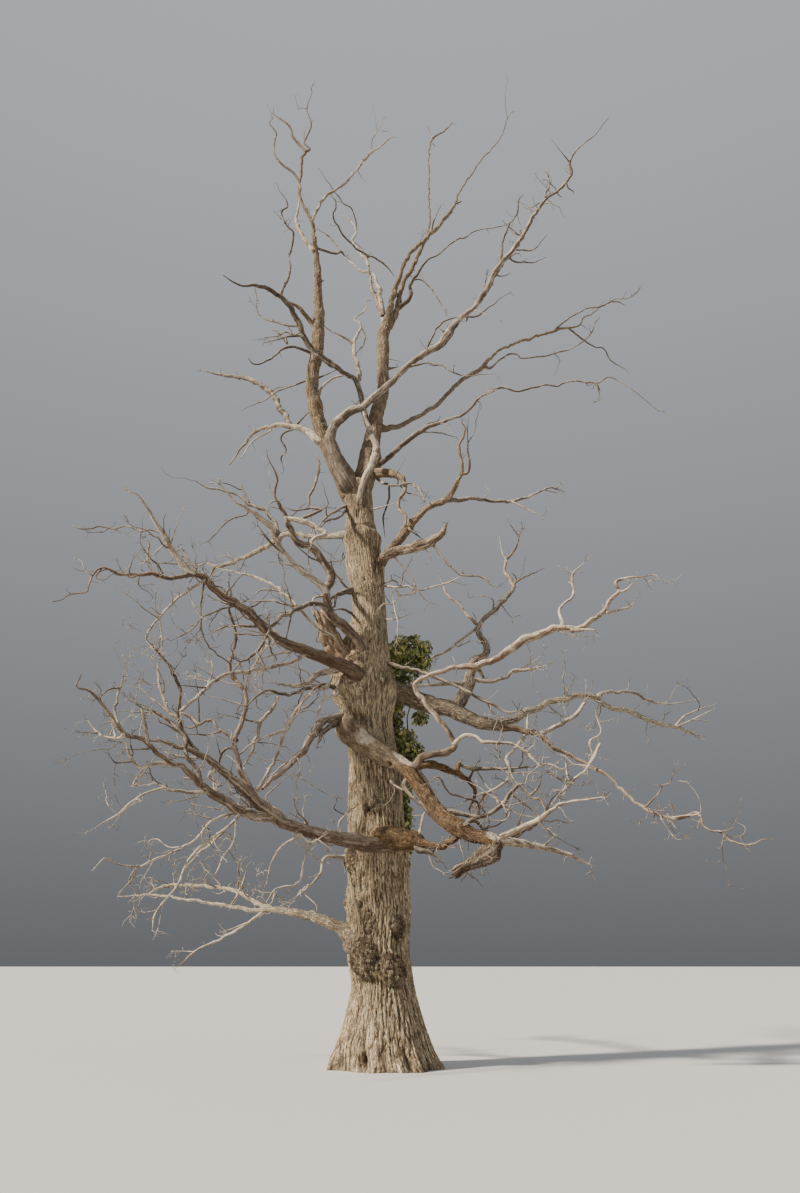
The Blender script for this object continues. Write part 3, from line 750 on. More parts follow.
def limb_skin(pts, rad, kind, seed, around=None, spacing=None, flare=0.35, out=0.0, cap=None, wiggle=1.0, fine=1.0):
    """The skin of one limb: vertices, faces, grain coordinates, relief."""
    k = KINDS[kind]
    rng = np.random.default_rng(SEED + seed)
    big = float(np.max(rad))
    if spacing is None:
        spacing = float(np.clip(0.30 * big, 0.021, 0.035))
    if around is None:
        around = int(np.clip(2 * math.pi * big / 0.0225, 7, 48))
    P, R = smooth_path(pts, rad, spacing)
    n = len(P)
    seg = np.linalg.norm(np.diff(P, axis=0), axis=1)
    s = np.concatenate([[0], np.cumsum(seg)])
    total = s[-1]
    off = rng.uniform(-90, 90, 3)
    # small crooks along the way, none at the root
    d, S, U = frames(P)
    ease = step(s, out + 0.1, out + 0.5) * wiggle
    amp = np.minimum(0.28 * R + 0.003, 0.022) * ease
    w = np.stack([s * 3.1, np.zeros(n), np.zeros(n)], 1)
    a = noise(w + off) + 0.45 * noise(w * 2.7 + off)
    b = noise(w + off + 31.7) + 0.45 * noise(w * 2.7 + off + 7.3)
    P = P + S * (amp * a * 1.6)[:, None] + U * (amp * b * 1.6)[:, None]
    # and short straight lengths with elbows between them
    at = np.cumsum(rng.uniform(0.05, 0.20, int(total / 0.1) + 4))
    at = np.concatenate([[0.0], at[at < total], [total + 0.01]])
    kink = rng.normal(size=(len(at), 2))
    kink[0] = 0
    size = np.minimum(0.26 * R + 0.0035, 0.013) * ease * (1 - 0.8 * step(R, 0.05, 0.12))
    P = P + S * (size * np.interp(s, at, kink[:, 0]))[:, None] + U * (size * np.interp(s, at, kink[:, 1]))[:, None]
    d, S, U = frames(P)
    # girth varies a little along the limb
    q = np.stack([s * 2.2, np.zeros(n) + 4, np.zeros(n)], 1)
    R = R * (1 + k["lump"] * 1.3 * noise(q + off) * step(s, out, out + 0.4))
    if flare:
        R = R * (1 + flare * np.exp(-np.maximum(0, s - out) / (1.3 * R[0] + 0.012)))
    R = np.maximum(R, 0.0020)
    th = np.linspace(0, 2 * math.pi, around, endpoint=False)
    T, Sg = np.meshgrid(th, s)
    Rg = np.repeat(R[:, None], around, 1)
    rho = max(big * 0.8, 0.02)
    tw = T + 2 * math.pi * k["twist"] * Sg
    local = np.maximum(Rg, 0.018)
    G = np.stack([np.cos(tw) * local, np.sin(tw) * local, Sg], -1).reshape(-1, 3)
    thick = np.minimum(1.0, Rg.ravel() / 0.07)
    # cross section: uneven, a little fluted
    lump = noise(G * [1 / (1.7 * rho), 1 / (1.7 * rho), 1 / (6 * rho)] + off)
    lump += 0.5 * noise(G * [1 / rho, 1 / rho, 1 / (3 * rho)] + off + 11)
    rel = k["lump"] * 1.5 * lump * Rg.ravel()
    plate = np.ones(len(G))
    if around >= 12:
        # long plates of bark, or ribs of grain, with narrow fissures between them
        gap = k["gap"]
        W = G / [gap, gap, gap * k["long"]] + off
        W[:, 0] += 0.5 * noise(G * [9, 9, 3.1] + off)
        W[:, 1] -= 0.5 * noise(G * [9, 9, 3.1] + off + 19)
        edge, value = plates(W, k["long"])
        plate = step(edge, 0.0, 0.36)
        crown = 1 - (1 - np.clip(edge / 0.42, 0, 1)) ** 2
        depth = k["depth"] * thick * fine
        rel += depth * (crown - 1.0) + depth * 0.35 * (value - 0.5) * plate
        plate = 1 - (1 - plate) * np.minimum(1, thick * 1.1) * 0.6
    # long splits in bare wood
    if k["split"] > 0.2 and around >= 9:
        sp = noise(G * [0.55 / rho, 0.55 / rho, 0.12 / rho] + off + 70)
        crack = np.exp(-(sp / 0.035) ** 2) * step(noise(G * [0.4, 0.4, 1.3] + off + 3), -0.15, 0.2)
        rel -= crack * k["split"] * 0.40 * Rg.ravel()
        plate = np.minimum(plate, 1 - 0.95 * crack)
    if k.get("rough"):
        rel += k["rough"] * thick * (noise(G * [13, 13, 7] + off) + 0.6 * noise(G * [31, 31, 17] + off))
    # knots and stubs of lost twigs
    count = int(total * k["knots"] * 1.4)
    for _ in range(count):
        at_s = rng.uniform(min(0.1, total * 0.5), total)
        at_t = rng.uniform(0, 2 * math.pi)
        r_here = float(np.interp(at_s, s, R))
        size = r_here * rng.uniform(0.35, 0.8) + 0.004
        lift = r_here * rng.uniform(0.12, 0.42)
        lo, hi = np.searchsorted(s, [at_s - 3 * size, at_s + 3 * size])
        if hi - lo < 2:
            continue
        sub = slice(lo * around, hi * around)
        dt = np.arctan2(np.sin(T.ravel()[sub] - at_t), np.cos(T.ravel()[sub] - at_t)) * r_here
        ds = (Sg.ravel()[sub] - at_s) * 0.75
        e = np.exp(-(dt ** 2 + ds ** 2) / size ** 2)
        rel[sub] += lift * e
        if rng.random() < 0.45 and r_here > 0.03:
            e2 = np.exp(-(dt ** 2 + ds ** 2) / (size * 0.38) ** 2)
            rel[sub] -= lift * 1.5 * e2
            plate[sub] = np.minimum(plate[sub], 1 - 0.9 * e2)
    rr = np.maximum(Rg.ravel() + rel, 0.35 * Rg.ravel())
    rr = rr.reshape(n, around)
    V = (P[:, None, :] + S[:, None, :] * (np.cos(T) * rr)[..., None] + U[:, None, :] * (np.sin(T) * rr)[..., None])
    broken = BROKEN.get(kind, 0.0) if cap is None else cap
    if broken:
        # the end is torn: strands of uneven length round a hollow
        reach = R[-1] * 2.4 * broken
        strands = noise(np.stack([np.cos(th) * 2.6, np.sin(th) * 2.6, np.zeros(around)], 1) + off)
        strands += 0.7 * noise(np.stack([np.cos(th) * 6.3, np.sin(th) * 6.3, np.zeros(around) + 9], 1) + off)
        strands = np.clip(0.45 + 1.1 * strands, 0, 1.3)
        for i in range(n):
            g = step(s[i], total - reach * 1.6, total)
            if g > 0:
                V[i] += d[i][None, :] * (g * strands * reach * 0.8)[:, None]
                V[i] = P[i] + (V[i] - P[i]) * (1 - 0.12 * g)
        rim = V[-1]
        inner = P[-1] + (rim - P[-1]) * 0.55 - d[-1] * reach * 0.25
        V = np.concatenate([V, inner[None]], 0)
        end = P[-1] - d[-1] * reach * 0.55
        G = np.vstack([G, G[-around:]])
        plate = np.concatenate([plate, np.full(around, 0.12)])
        rings = n + 1
    else:
        end = P[-1] + d[-1] * R[-1] * 0.8
        rings = n
    V = V.reshape(-1, 3)
    faces = grid_faces(rings, around)
    c0, c1 = len(V), len(V) + 1
    V = np.vstack([V, P[0], end])
    G = np.vstack([G, [0, 0, 0], [0, 0, total]])
    plate = np.concatenate([plate, [0.5, 0.3 if broken else 0.8]])
    last = (rings - 1) * around
    for j in range(around):
        faces.append([c0, (j + 1) % around, j])
        faces.append([c1, last + j, last + (j + 1) % around])
    return V, faces, G, plate


class Heap:
    """Many skins joined into one mesh."""

    def __init__(self):
        self.v, self.f, self.g, self.r, self.n = [], [], [], [], 0

    def add(self, V, F, G, plate):
        self.v.append(V)
        n = self.n
        self.f.extend([[i + n for i in f] for f in F])
        self.g.append(G)
        self.r.append(plate)
        self.n += len(V)

    def triangles(self):
        return sum(len(f) - 2 for f in self.f)

    def build(self, name, material, slot, replaces=(), smooth=True):
        if not self.n:
            return None
        return add_mesh(name, np.vstack(self.v), self.f, {"grain": np.vstack(self.g), "relief": np.concatenate(self.r)},
                        material, replaces, smooth)


# ---------------------------------------------------------------- materials
def new_material(name):
    m = bpy.data.materials.new(name)
    m.use_nodes = True
    return m, m.node_tree.nodes, m.node_tree.links, m.node_tree.nodes["Principled BSDF"]


def rgb(c):
    return (c[0], c[1], c[2], 1.0)


def mix_node(nodes, links, fac, a, b, mode="MIX"):
    n = nodes.new("ShaderNodeMix")
    n.data_type = "RGBA"
    n.blend_type = mode
    for sock, val in ((n.inputs[0], fac), (n.inputs[6], a), (n.inputs[7], b)):
        if isinstance(val, (int, float)):
            sock.default_value = val
        elif isinstance(val, tuple):
            sock.default_value = rgb(val)
        else:
            links.new(val, sock)
    return n.outputs[2]


def noise_node(nodes, links, vector, scale, detail=4, rough=0.55, dist=0.0):
    n = nodes.new("ShaderNodeTexNoise")
    n.inputs["Scale"].default_value = scale
    n.inputs["Detail"].default_value = detail
    n.inputs["Roughness"].default_value = rough
    n.inputs["Distortion"].default_value = dist
    links.new(vector, n.inputs["Vector"])
    return n.outputs["Fac"]


def ramp_node(nodes, links, fac, stops):
    n = nodes.new("ShaderNodeValToRGB")
    el = n.color_ramp.elements
    while len(el) < len(stops):
        el.new(0.5)
    for e, (pos, col) in zip(el, stops):
        e.position = pos
        e.color = rgb(col) if len(col) == 3 else col
    links.new(fac, n.inputs["Fac"])
    return n.outputs["Color"]


def range_node(nodes, links, value, a, b, c=0.0, d=1.0):
    n = nodes.new("ShaderNodeMapRange")
    n.inputs["From Min"].default_value = a
    n.inputs["From Max"].default_value = b
    n.inputs["To Min"].default_value = c
    n.inputs["To Max"].default_value = d
    links.new(value, n.inputs["Value"])
    return n.outputs["Result"]


def scaled(nodes, links, vector, s):
    n = nodes.new("ShaderNodeMapping")
    n.inputs["Scale"].default_value = s
    links.new(vector, n.inputs["Vector"])
    return n.outputs["Vector"]


def wood_material(name, light, mid, deep, stain=None, stain_amount=0.0, top=None, top_amount=0.0,
                  lichen=0.0, rough=0.9, grain_bump=0.5, scab=(0.17, 0.115, 0.075), lines=0.55,
                  strip=0.6, bare=None, bump_depth=0.010, flakes=0.0, flake_size=(26, 26, 8),
                  blotch=0.0):
    """Weathered wood or bark. Its grain follows each limb, its fissures are dark."""
    m, nodes, links, bsdf = new_material(name)
    grain = nodes.new("ShaderNodeAttribute")
    grain.attribute_name = "grain"
    relief = nodes.new("ShaderNodeAttribute")
    relief.attribute_name = "relief"
    place = nodes.new("ShaderNodeTexCoord").outputs["Object"]
    g = grain.outputs["Vector"]
    streak = noise_node(nodes, links, scaled(nodes, links, g, (60, 60, 4.5)), 1.0, 5, 0.62, 0.3)
    fine = noise_node(nodes, links, scaled(nodes, links, g, (150, 150, 14)), 1.0, 3, 0.6)
    patch = noise_node(nodes, links, place, 1.7, 3, 0.6, 0.6)
    speck = noise_node(nodes, links, place, 26.0, 3, 0.65)
    base = ramp_node(nodes, links, streak, [(0.30, mid), (0.52, tuple(0.5 * (a + b) for a, b in zip(light, mid))), (0.70, light)])
    if stain is not None and stain_amount > 0:
        f = range_node(nodes, links, patch, 0.52 - 0.12 * stain_amount, 0.62, 0.0, min(1.0, 0.4 + stain_amount))
        base = mix_node(nodes, links, f, base, stain)
    base = mix_node(nodes, links, range_node(nodes, links, speck, 0.35, 0.72, 0.0, 0.34), base, light)
    if strip > 0:
        # long strips where the bark is gone, and darker ones beside them
        strips = noise_node(nodes, links, scaled(nodes, links, g, (13, 13, 1.1)), 1.0, 3, 0.5, 0.3)
        base = mix_node(nodes, links, range_node(nodes, links, strips, 0.53, 0.60, 0.0, strip), base, bare or top or light)
        base = mix_node(nodes, links, range_node(nodes, links, strips, 0.38, 0.46, 0.65 * strip, 0.0), base, tuple(0.45 * c for c in mid))
    if top is not None:
        normal = nodes.new("ShaderNodeNewGeometry")
        sep = nodes.new("ShaderNodeSeparateXYZ")
        links.new(normal.outputs["Normal"], sep.inputs[0])
        add = nodes.new("ShaderNodeMath")
        add.operation = "ADD"
        links.new(sep.outputs["Z"], add.inputs[0])
        links.new(range_node(nodes, links, streak, 0.3, 0.7, -0.45, 0.45), add.inputs[1])
        f = range_node(nodes, links, add.outputs[0], -0.25, 0.60, 0.0, top_amount)
        base = mix_node(nodes, links, f, base, top)
    if blotch > 0:
        # weather has left some lengths bleached and some dark
        blot = noise_node(nodes, links, place, 4.6, 4, 0.66, 0.8)
        base = mix_node(nodes, links, range_node(nodes, links, blot, 0.36, 0.47, blotch, 0.0), base, tuple(0.6 * c for c in mid))
        base = mix_node(nodes, links, range_node(nodes, links, blot, 0.55, 0.66, 0.0, blotch), base, (0.60, 0.54, 0.42))
    if lichen > 0:
        spots = noise_node(nodes, links, place, 9.0, 4, 0.7, 0.5)
        f = range_node(nodes, links, spots, 0.60 - 0.12 * lichen, 0.68 - 0.1 * lichen, 0.0, 0.85)
        base = mix_node(nodes, links, f, base, (0.43, 0.40, 0.30))
    tone = nodes.new("ShaderNodeAttribute")
    tone.attribute_name = "tone"
    crust = mix_node(nodes, links, range_node(nodes, links, streak, 0.35, 0.65), tuple(0.55 * c for c in scab), tuple(1.55 * c for c in scab))
    base = mix_node(nodes, links, range_node(nodes, links, tone.outputs["Fac"], 0.0, 1.0, 0.0, 0.90), base, crust)
    height = None
    if flakes > 0:
        # small crusty flakes, some light and some dark, with narrow shadows between them
        warp = noise_node(nodes, links, scaled(nodes, links, g, (11, 11, 6)), 1.0, 3, 0.6)
        lean = nodes.new("ShaderNodeVectorMath")
        lean.operation = "ADD"
        links.new(scaled(nodes, links, g, flake_size), lean.inputs[0])
        links.new(range_node(nodes, links, warp, 0.3, 0.7, -0.8, 0.8), lean.inputs[1])
        scale = nodes.new("ShaderNodeTexVoronoi")
        scale.feature = "DISTANCE_TO_EDGE"
        scale.inputs["Scale"].default_value = 1.0
        links.new(lean.outputs[0], scale.inputs["Vector"])
        tint = nodes.new("ShaderNodeTexVoronoi")
        tint.feature = "F1"
        tint.inputs["Scale"].default_value = 1.0
        links.new(lean.outputs[0], tint.inputs["Vector"])
        grey = nodes.new("ShaderNodeRGBToBW")
        links.new(tint.outputs["Color"], grey.inputs[0])
        base = mix_node(nodes, links, range_node(nodes, links, grey.outputs[0], 0.25, 0.45, 0.5 * flakes, 0.0), base, tuple(0.6 * c for c in mid))
        base = mix_node(nodes, links, range_node(nodes, links, grey.outputs[0], 0.58, 0.80, 0.0, 0.45 * flakes), base, tuple(min(0.8, 1.2 * c) for c in light))
        height = range_node(nodes, links, scale.outputs["Distance"], 0.0, 0.20, 0.0, 1.0)
        here = range_node(nodes, links, speck, 0.40, 0.62, 0.0, 0.75 * flakes)
        border = nodes.new("ShaderNodeMath")
        border.operation = "MULTIPLY"
        links.new(range_node(nodes, links, scale.outputs["Distance"], 0.0, 0.13, 1.0, 0.0), border.inputs[0])
        links.new(here, border.inputs[1])
        base = mix_node(nodes, links, border.outputs[0], base, deep)
        mottle = noise_node(nodes, links, scaled(nodes, links, g, (38, 38, 15)), 1.0, 5, 0.72, 0.6)
        base = mix_node(nodes, links, range_node(nodes, links, mottle, 0.32, 0.44, 0.8 * flakes, 0.0), base, tuple(0.5 * c for c in mid))
        base = mix_node(nodes, links, range_node(nodes, links, mottle, 0.52, 0.66, 0.0, 0.8 * flakes), base, tuple(min(0.8, 1.3 * c) for c in light))
    peeled = nodes.new("ShaderNodeAttribute")
    peeled.attribute_name = "bare"
    wood = mix_node(nodes, links, range_node(nodes, links, streak, 0.35, 0.65), (0.47, 0.38, 0.28), (0.72, 0.645, 0.53))
    base = mix_node(nodes, links, range_node(nodes, links, peeled.outputs["Fac"], 0.0, 1.0, 0.0, 0.92), base, wood)
    # fine dark lines along the grain
    thread = noise_node(nodes, links, scaled(nodes, links, g, (34, 34, 2.6)), 1.0, 3, 0.55, 0.2)
    off = nodes.new("ShaderNodeMath")
    off.operation = "SUBTRACT"
    links.new(thread, off.inputs[0])
    off.inputs[1].default_value = 0.5
    near = nodes.new("ShaderNodeMath")
    near.operation = "ABSOLUTE"
    links.new(off.outputs[0], near.inputs[0])
    base = mix_node(nodes, links, range_node(nodes, links, near.outputs[0], 0.0, 0.040, lines, 0.0), base, deep)
    dark = range_node(nodes, links, relief.outputs["Fac"], 0.0, 0.75, 0.85, 0.0)
    base = mix_node(nodes, links, dark, base, deep)
    links.new(base, bsdf.inputs["Base Color"])
    bsdf.inputs["Roughness"].default_value = rough
    bsdf.inputs["Specular IOR Level"].default_value = 0.25
    bump = nodes.new("ShaderNodeBump")
    bump.inputs["Strength"].default_value = grain_bump
    bump.inputs["Distance"].default_value = bump_depth
    add = nodes.new("ShaderNodeMath")
    add.operation = "ADD"
    links.new(streak, add.inputs[0])
    links.new(fine, add.inputs[1])
    ridge = nodes.new("ShaderNodeMath")
    ridge.operation = "ADD"
    links.new(add.outputs[0], ridge.inputs[0])
    links.new(range_node(nodes, links, near.outputs[0], 0.0, 0.06, 0.0, 1.0), ridge.inputs[1])
    top_height = ridge.outputs[0]
    if height is not None:
        crusts = nodes.new("ShaderNodeMath")
        crusts.operation = "MULTIPLY_ADD"
        links.new(height, crusts.inputs[0])
        crusts.inputs[1].default_value = 1.6 * flakes
        links.new(ridge.outputs[0], crusts.inputs[2])
        top_height = crusts.outputs[0]
    links.new(top_height, bump.inputs["Height"])
    links.new(bump.outputs["Normal"], bsdf.inputs["Normal"])
    return m


WOODS = {
    "bark": dict(light=(0.36, 0.265, 0.17), mid=(0.19, 0.132, 0.082), deep=(0.040, 0.026, 0.017), stain=(0.24, 0.155, 0.09), stain_amount=0.4, top=(0.54, 0.44, 0.315), top_amount=0.6, strip=0.15, flakes=0.8, bump_depth=0.016, grain_bump=0.7),
    "palebark": dict(light=(0.56, 0.475, 0.345), mid=(0.29, 0.225, 0.15), deep=(0.042, 0.028, 0.018), lichen=0.5, top=(0.66, 0.58, 0.45), top_amount=0.7, strip=0.2, flakes=0.8, bump_depth=0.016, grain_bump=0.7, flake_size=(44, 44, 20)),
    "lichen": dict(light=(0.40, 0.335, 0.24), mid=(0.18, 0.145, 0.10), deep=(0.036, 0.027, 0.018), lichen=0.6, top=(0.52, 0.46, 0.36), top_amount=0.6, strip=0.3, flakes=0.6, flake_size=(38, 38, 14), bump_depth=0.012, blotch=0.6),
    "dark": dict(light=(0.18, 0.132, 0.096), mid=(0.066, 0.046, 0.033), deep=(0.014, 0.010, 0.007), top=(0.52, 0.445, 0.345), top_amount=0.7, strip=0.5, flakes=0.45, flake_size=(36, 36, 9), bump_depth=0.012, blotch=0.45),
    "brown": dict(light=(0.25, 0.17, 0.112), mid=(0.100, 0.064, 0.041), deep=(0.020, 0.013, 0.009), top=(0.56, 0.465, 0.35), top_amount=0.75, flakes=0.45, flake_size=(34, 34, 8), bump_depth=0.012, blotch=0.4),
    "umber": dict(light=(0.185, 0.13, 0.088), mid=(0.092, 0.060, 0.039), deep=(0.022, 0.015, 0.010), top=(0.33, 0.25, 0.18), top_amount=0.45, flakes=0.6, bump_depth=0.014, blotch=0.3),
    "two": dict(light=(0.27, 0.205, 0.15), mid=(0.095, 0.066, 0.047), deep=(0.020, 0.014, 0.010), top=(0.66, 0.575, 0.455), top_amount=0.9, flakes=0.4, flake_size=(34, 34, 7), blotch=0.5),
    "rust": dict(light=(0.205, 0.125, 0.068), mid=(0.080, 0.048, 0.028), deep=(0.020, 0.012, 0.008), stain=(0.33, 0.185, 0.062), stain_amount=0.55, top=(0.43, 0.30, 0.165), top_amount=0.6, strip=0.15, flakes=0.95, flake_size=(30, 30, 12), bump_depth=0.018, grain_bump=0.8),
    "rustdark": dict(light=(0.21, 0.135, 0.088), mid=(0.105, 0.063, 0.041), deep=(0.026, 0.016, 0.011), top=(0.46, 0.365, 0.27), top_amount=0.75, flakes=0.5, flake_size=(34, 34, 9)),
    "pink": dict(light=(0.31, 0.215, 0.155), mid=(0.135, 0.083, 0.058), deep=(0.025, 0.016, 0.011), top=(0.55, 0.46, 0.37), top_amount=0.55, flakes=0.35, flake_size=(30, 30, 6), bump_depth=0.014),
    "pale": dict(light=(0.43, 0.345, 0.255), mid=(0.175, 0.128, 0.088), deep=(0.040, 0.028, 0.020), stain=(0.19, 0.13, 0.088), stain_amount=0.45, top=(0.68, 0.605, 0.495), top_amount=0.8, blotch=0.55),
    "white": dict(light=(0.55, 0.475, 0.385), mid=(0.25, 0.19, 0.145), deep=(0.055, 0.040, 0.029), stain=(0.28, 0.18, 0.12), stain_amount=0.4, top=(0.74, 0.675, 0.575), top_amount=0.75, blotch=0.4),
    "peel": dict(light=(0.35, 0.255, 0.18), mid=(0.125, 0.082, 0.055), deep=(0.028, 0.018, 0.012), stain=(0.26, 0.145, 0.085), stain_amount=0.45, top=(0.64, 0.55, 0.435), top_amount=0.8, blotch=0.5),
    "split": dict(light=(0.30, 0.215, 0.145), mid=(0.105, 0.069, 0.045), deep=(0.024, 0.015, 0.010), stain=(0.22, 0.135, 0.075), stain_amount=0.4, top=(0.56, 0.465, 0.345), top_amount=0.6, grain_bump=0.8, bump_depth=0.016, blotch=0.4),
    "splinter": dict(light=(0.160, 0.118, 0.085), mid=(0.050, 0.034, 0.024), deep=(0.016, 0.011, 0.008), stain=(0.13, 0.085, 0.055), stain_amount=0.5, top=(0.44, 0.36, 0.27), top_amount=0.35, strip=0.35, lines=0.8, grain_bump=0.9, bump_depth=0.02),
    "tan": dict(light=(0.40, 0.30, 0.20), mid=(0.23, 0.16, 0.10), deep=(0.042, 0.027, 0.017), stain=(0.33, 0.21, 0.12), stain_amount=0.5),
}
for k, v in WOODS.items():
    v.setdefault("scab", (0.105, 0.069, 0.045))
    if k in ("bark", "dark", "brown", "two", "rustdark", "pink", "umber", "lichen"):
        v["light"] = tuple(0.84 * c for c in v["light"])
        v["mid"] = tuple(0.76 * c for c in v["mid"])
MAT = {k: wood_material("wood_" + k, **v) for k, v in WOODS.items()}
TRUNK_MAT = wood_material("trunk_bark", (0.80, 0.63, 0.425), (0.42, 0.30, 0.182), (0.048, 0.030, 0.018),
                          stain=(0.41, 0.28, 0.165), stain_amount=0.45, grain_bump=0.9, strip=0.0, bump_depth=0.022, flakes=0.65, flake_size=(34, 34, 9), lines=0.7)


def leaf_material(name, colour, back):
    m, nodes, links, bsdf = new_material(name)
    bsdf.inputs["Base Color"].default_value = rgb(colour)
    bsdf.inputs["Roughness"].default_value = 0.42
    bsdf.inputs["Specular IOR Level"].default_value = 0.4
    return m


# ---------------------------------------------------------------- trunk
# burrs: bearing in degrees (-90 is the viewed side), height, half width, half height, how far it stands out
BURRS = [
    (-119, 1.63, 0.27, 0.30, 0.20, 1.0),
    (-69, 1.48, 0.26, 0.24, 0.22, 1.0),
    (-152, 3.27, 0.24, 0.22, 0.10, 0.9),
    (-107, 2.20, 0.12, 0.19, 0.035, 0.8),
    (-50, 2.10, 0.18, 0.20, 0.06, 0.8),
    (-100, 4.17, 0.17, 0.15, 0.07, 0.4),
    (60, 1.9, 0.30, 0.28, 0.14, 1.0),
    (150, 2.6, 0.22, 0.26, 0.10, 0.9),
    (95, 4.6, 0.20, 0.22, 0.09, 0.6),
]
# swellings under the big boughs: bearing, height, half width, half height, how far they stand out
SWELLINGS = [
    (-160, 6.75, 0.52, 0.80, 0.30), (-118, 6.25, 0.30, 0.34, 0.12), (-30, 6.35, 0.40, 0.42, 0.12), (-110, 5.45, 0.30, 0.30, 0.10),
    (-75, 3.55, 0.34, 0.30, 0.10), (150, 9.0, 0.3, 0.3, 0.08), (-40, 8.9, 0.26, 0.30, 0.07), (80, 6.9, 0.4, 0.5, 0.10),
]
# dark hollows: bearing, height, half width, half height, how deep
HOLLOWS = [
    (-113, 0.14, 0.075, 0.16, 0.20), (-62, 0.10, 0.07, 0.20, 0.12), (-150, 0.12, 0.08, 0.20, 0.10), (30, 0.15, 0.10, 0.25, 0.12),
    (100, 0.12, 0.08, 0.22, 0.12), (-124, 2.52, 0.045, 0.055, 0.09), (-104, 4.12, 0.045, 0.06, 0.10), (-118, 3.0, 0.04, 0.05, 0.04),
    (-56, 2.02, 0.06, 0.07, 0.07), (-95, 6.1, 0.02, 0.25, 0.03), (-84, 5.7, 0.02, 0.22, 0.03), (-112, 10.17, 0.016, 0.18, 0.03),
    (-92, 10.20, 0.016, 0.18, 0.03), (-101, 10.08, 0.014, 0.12, 0.03), (-97, 8.6, 0.03, 0.05, 0.04),
]


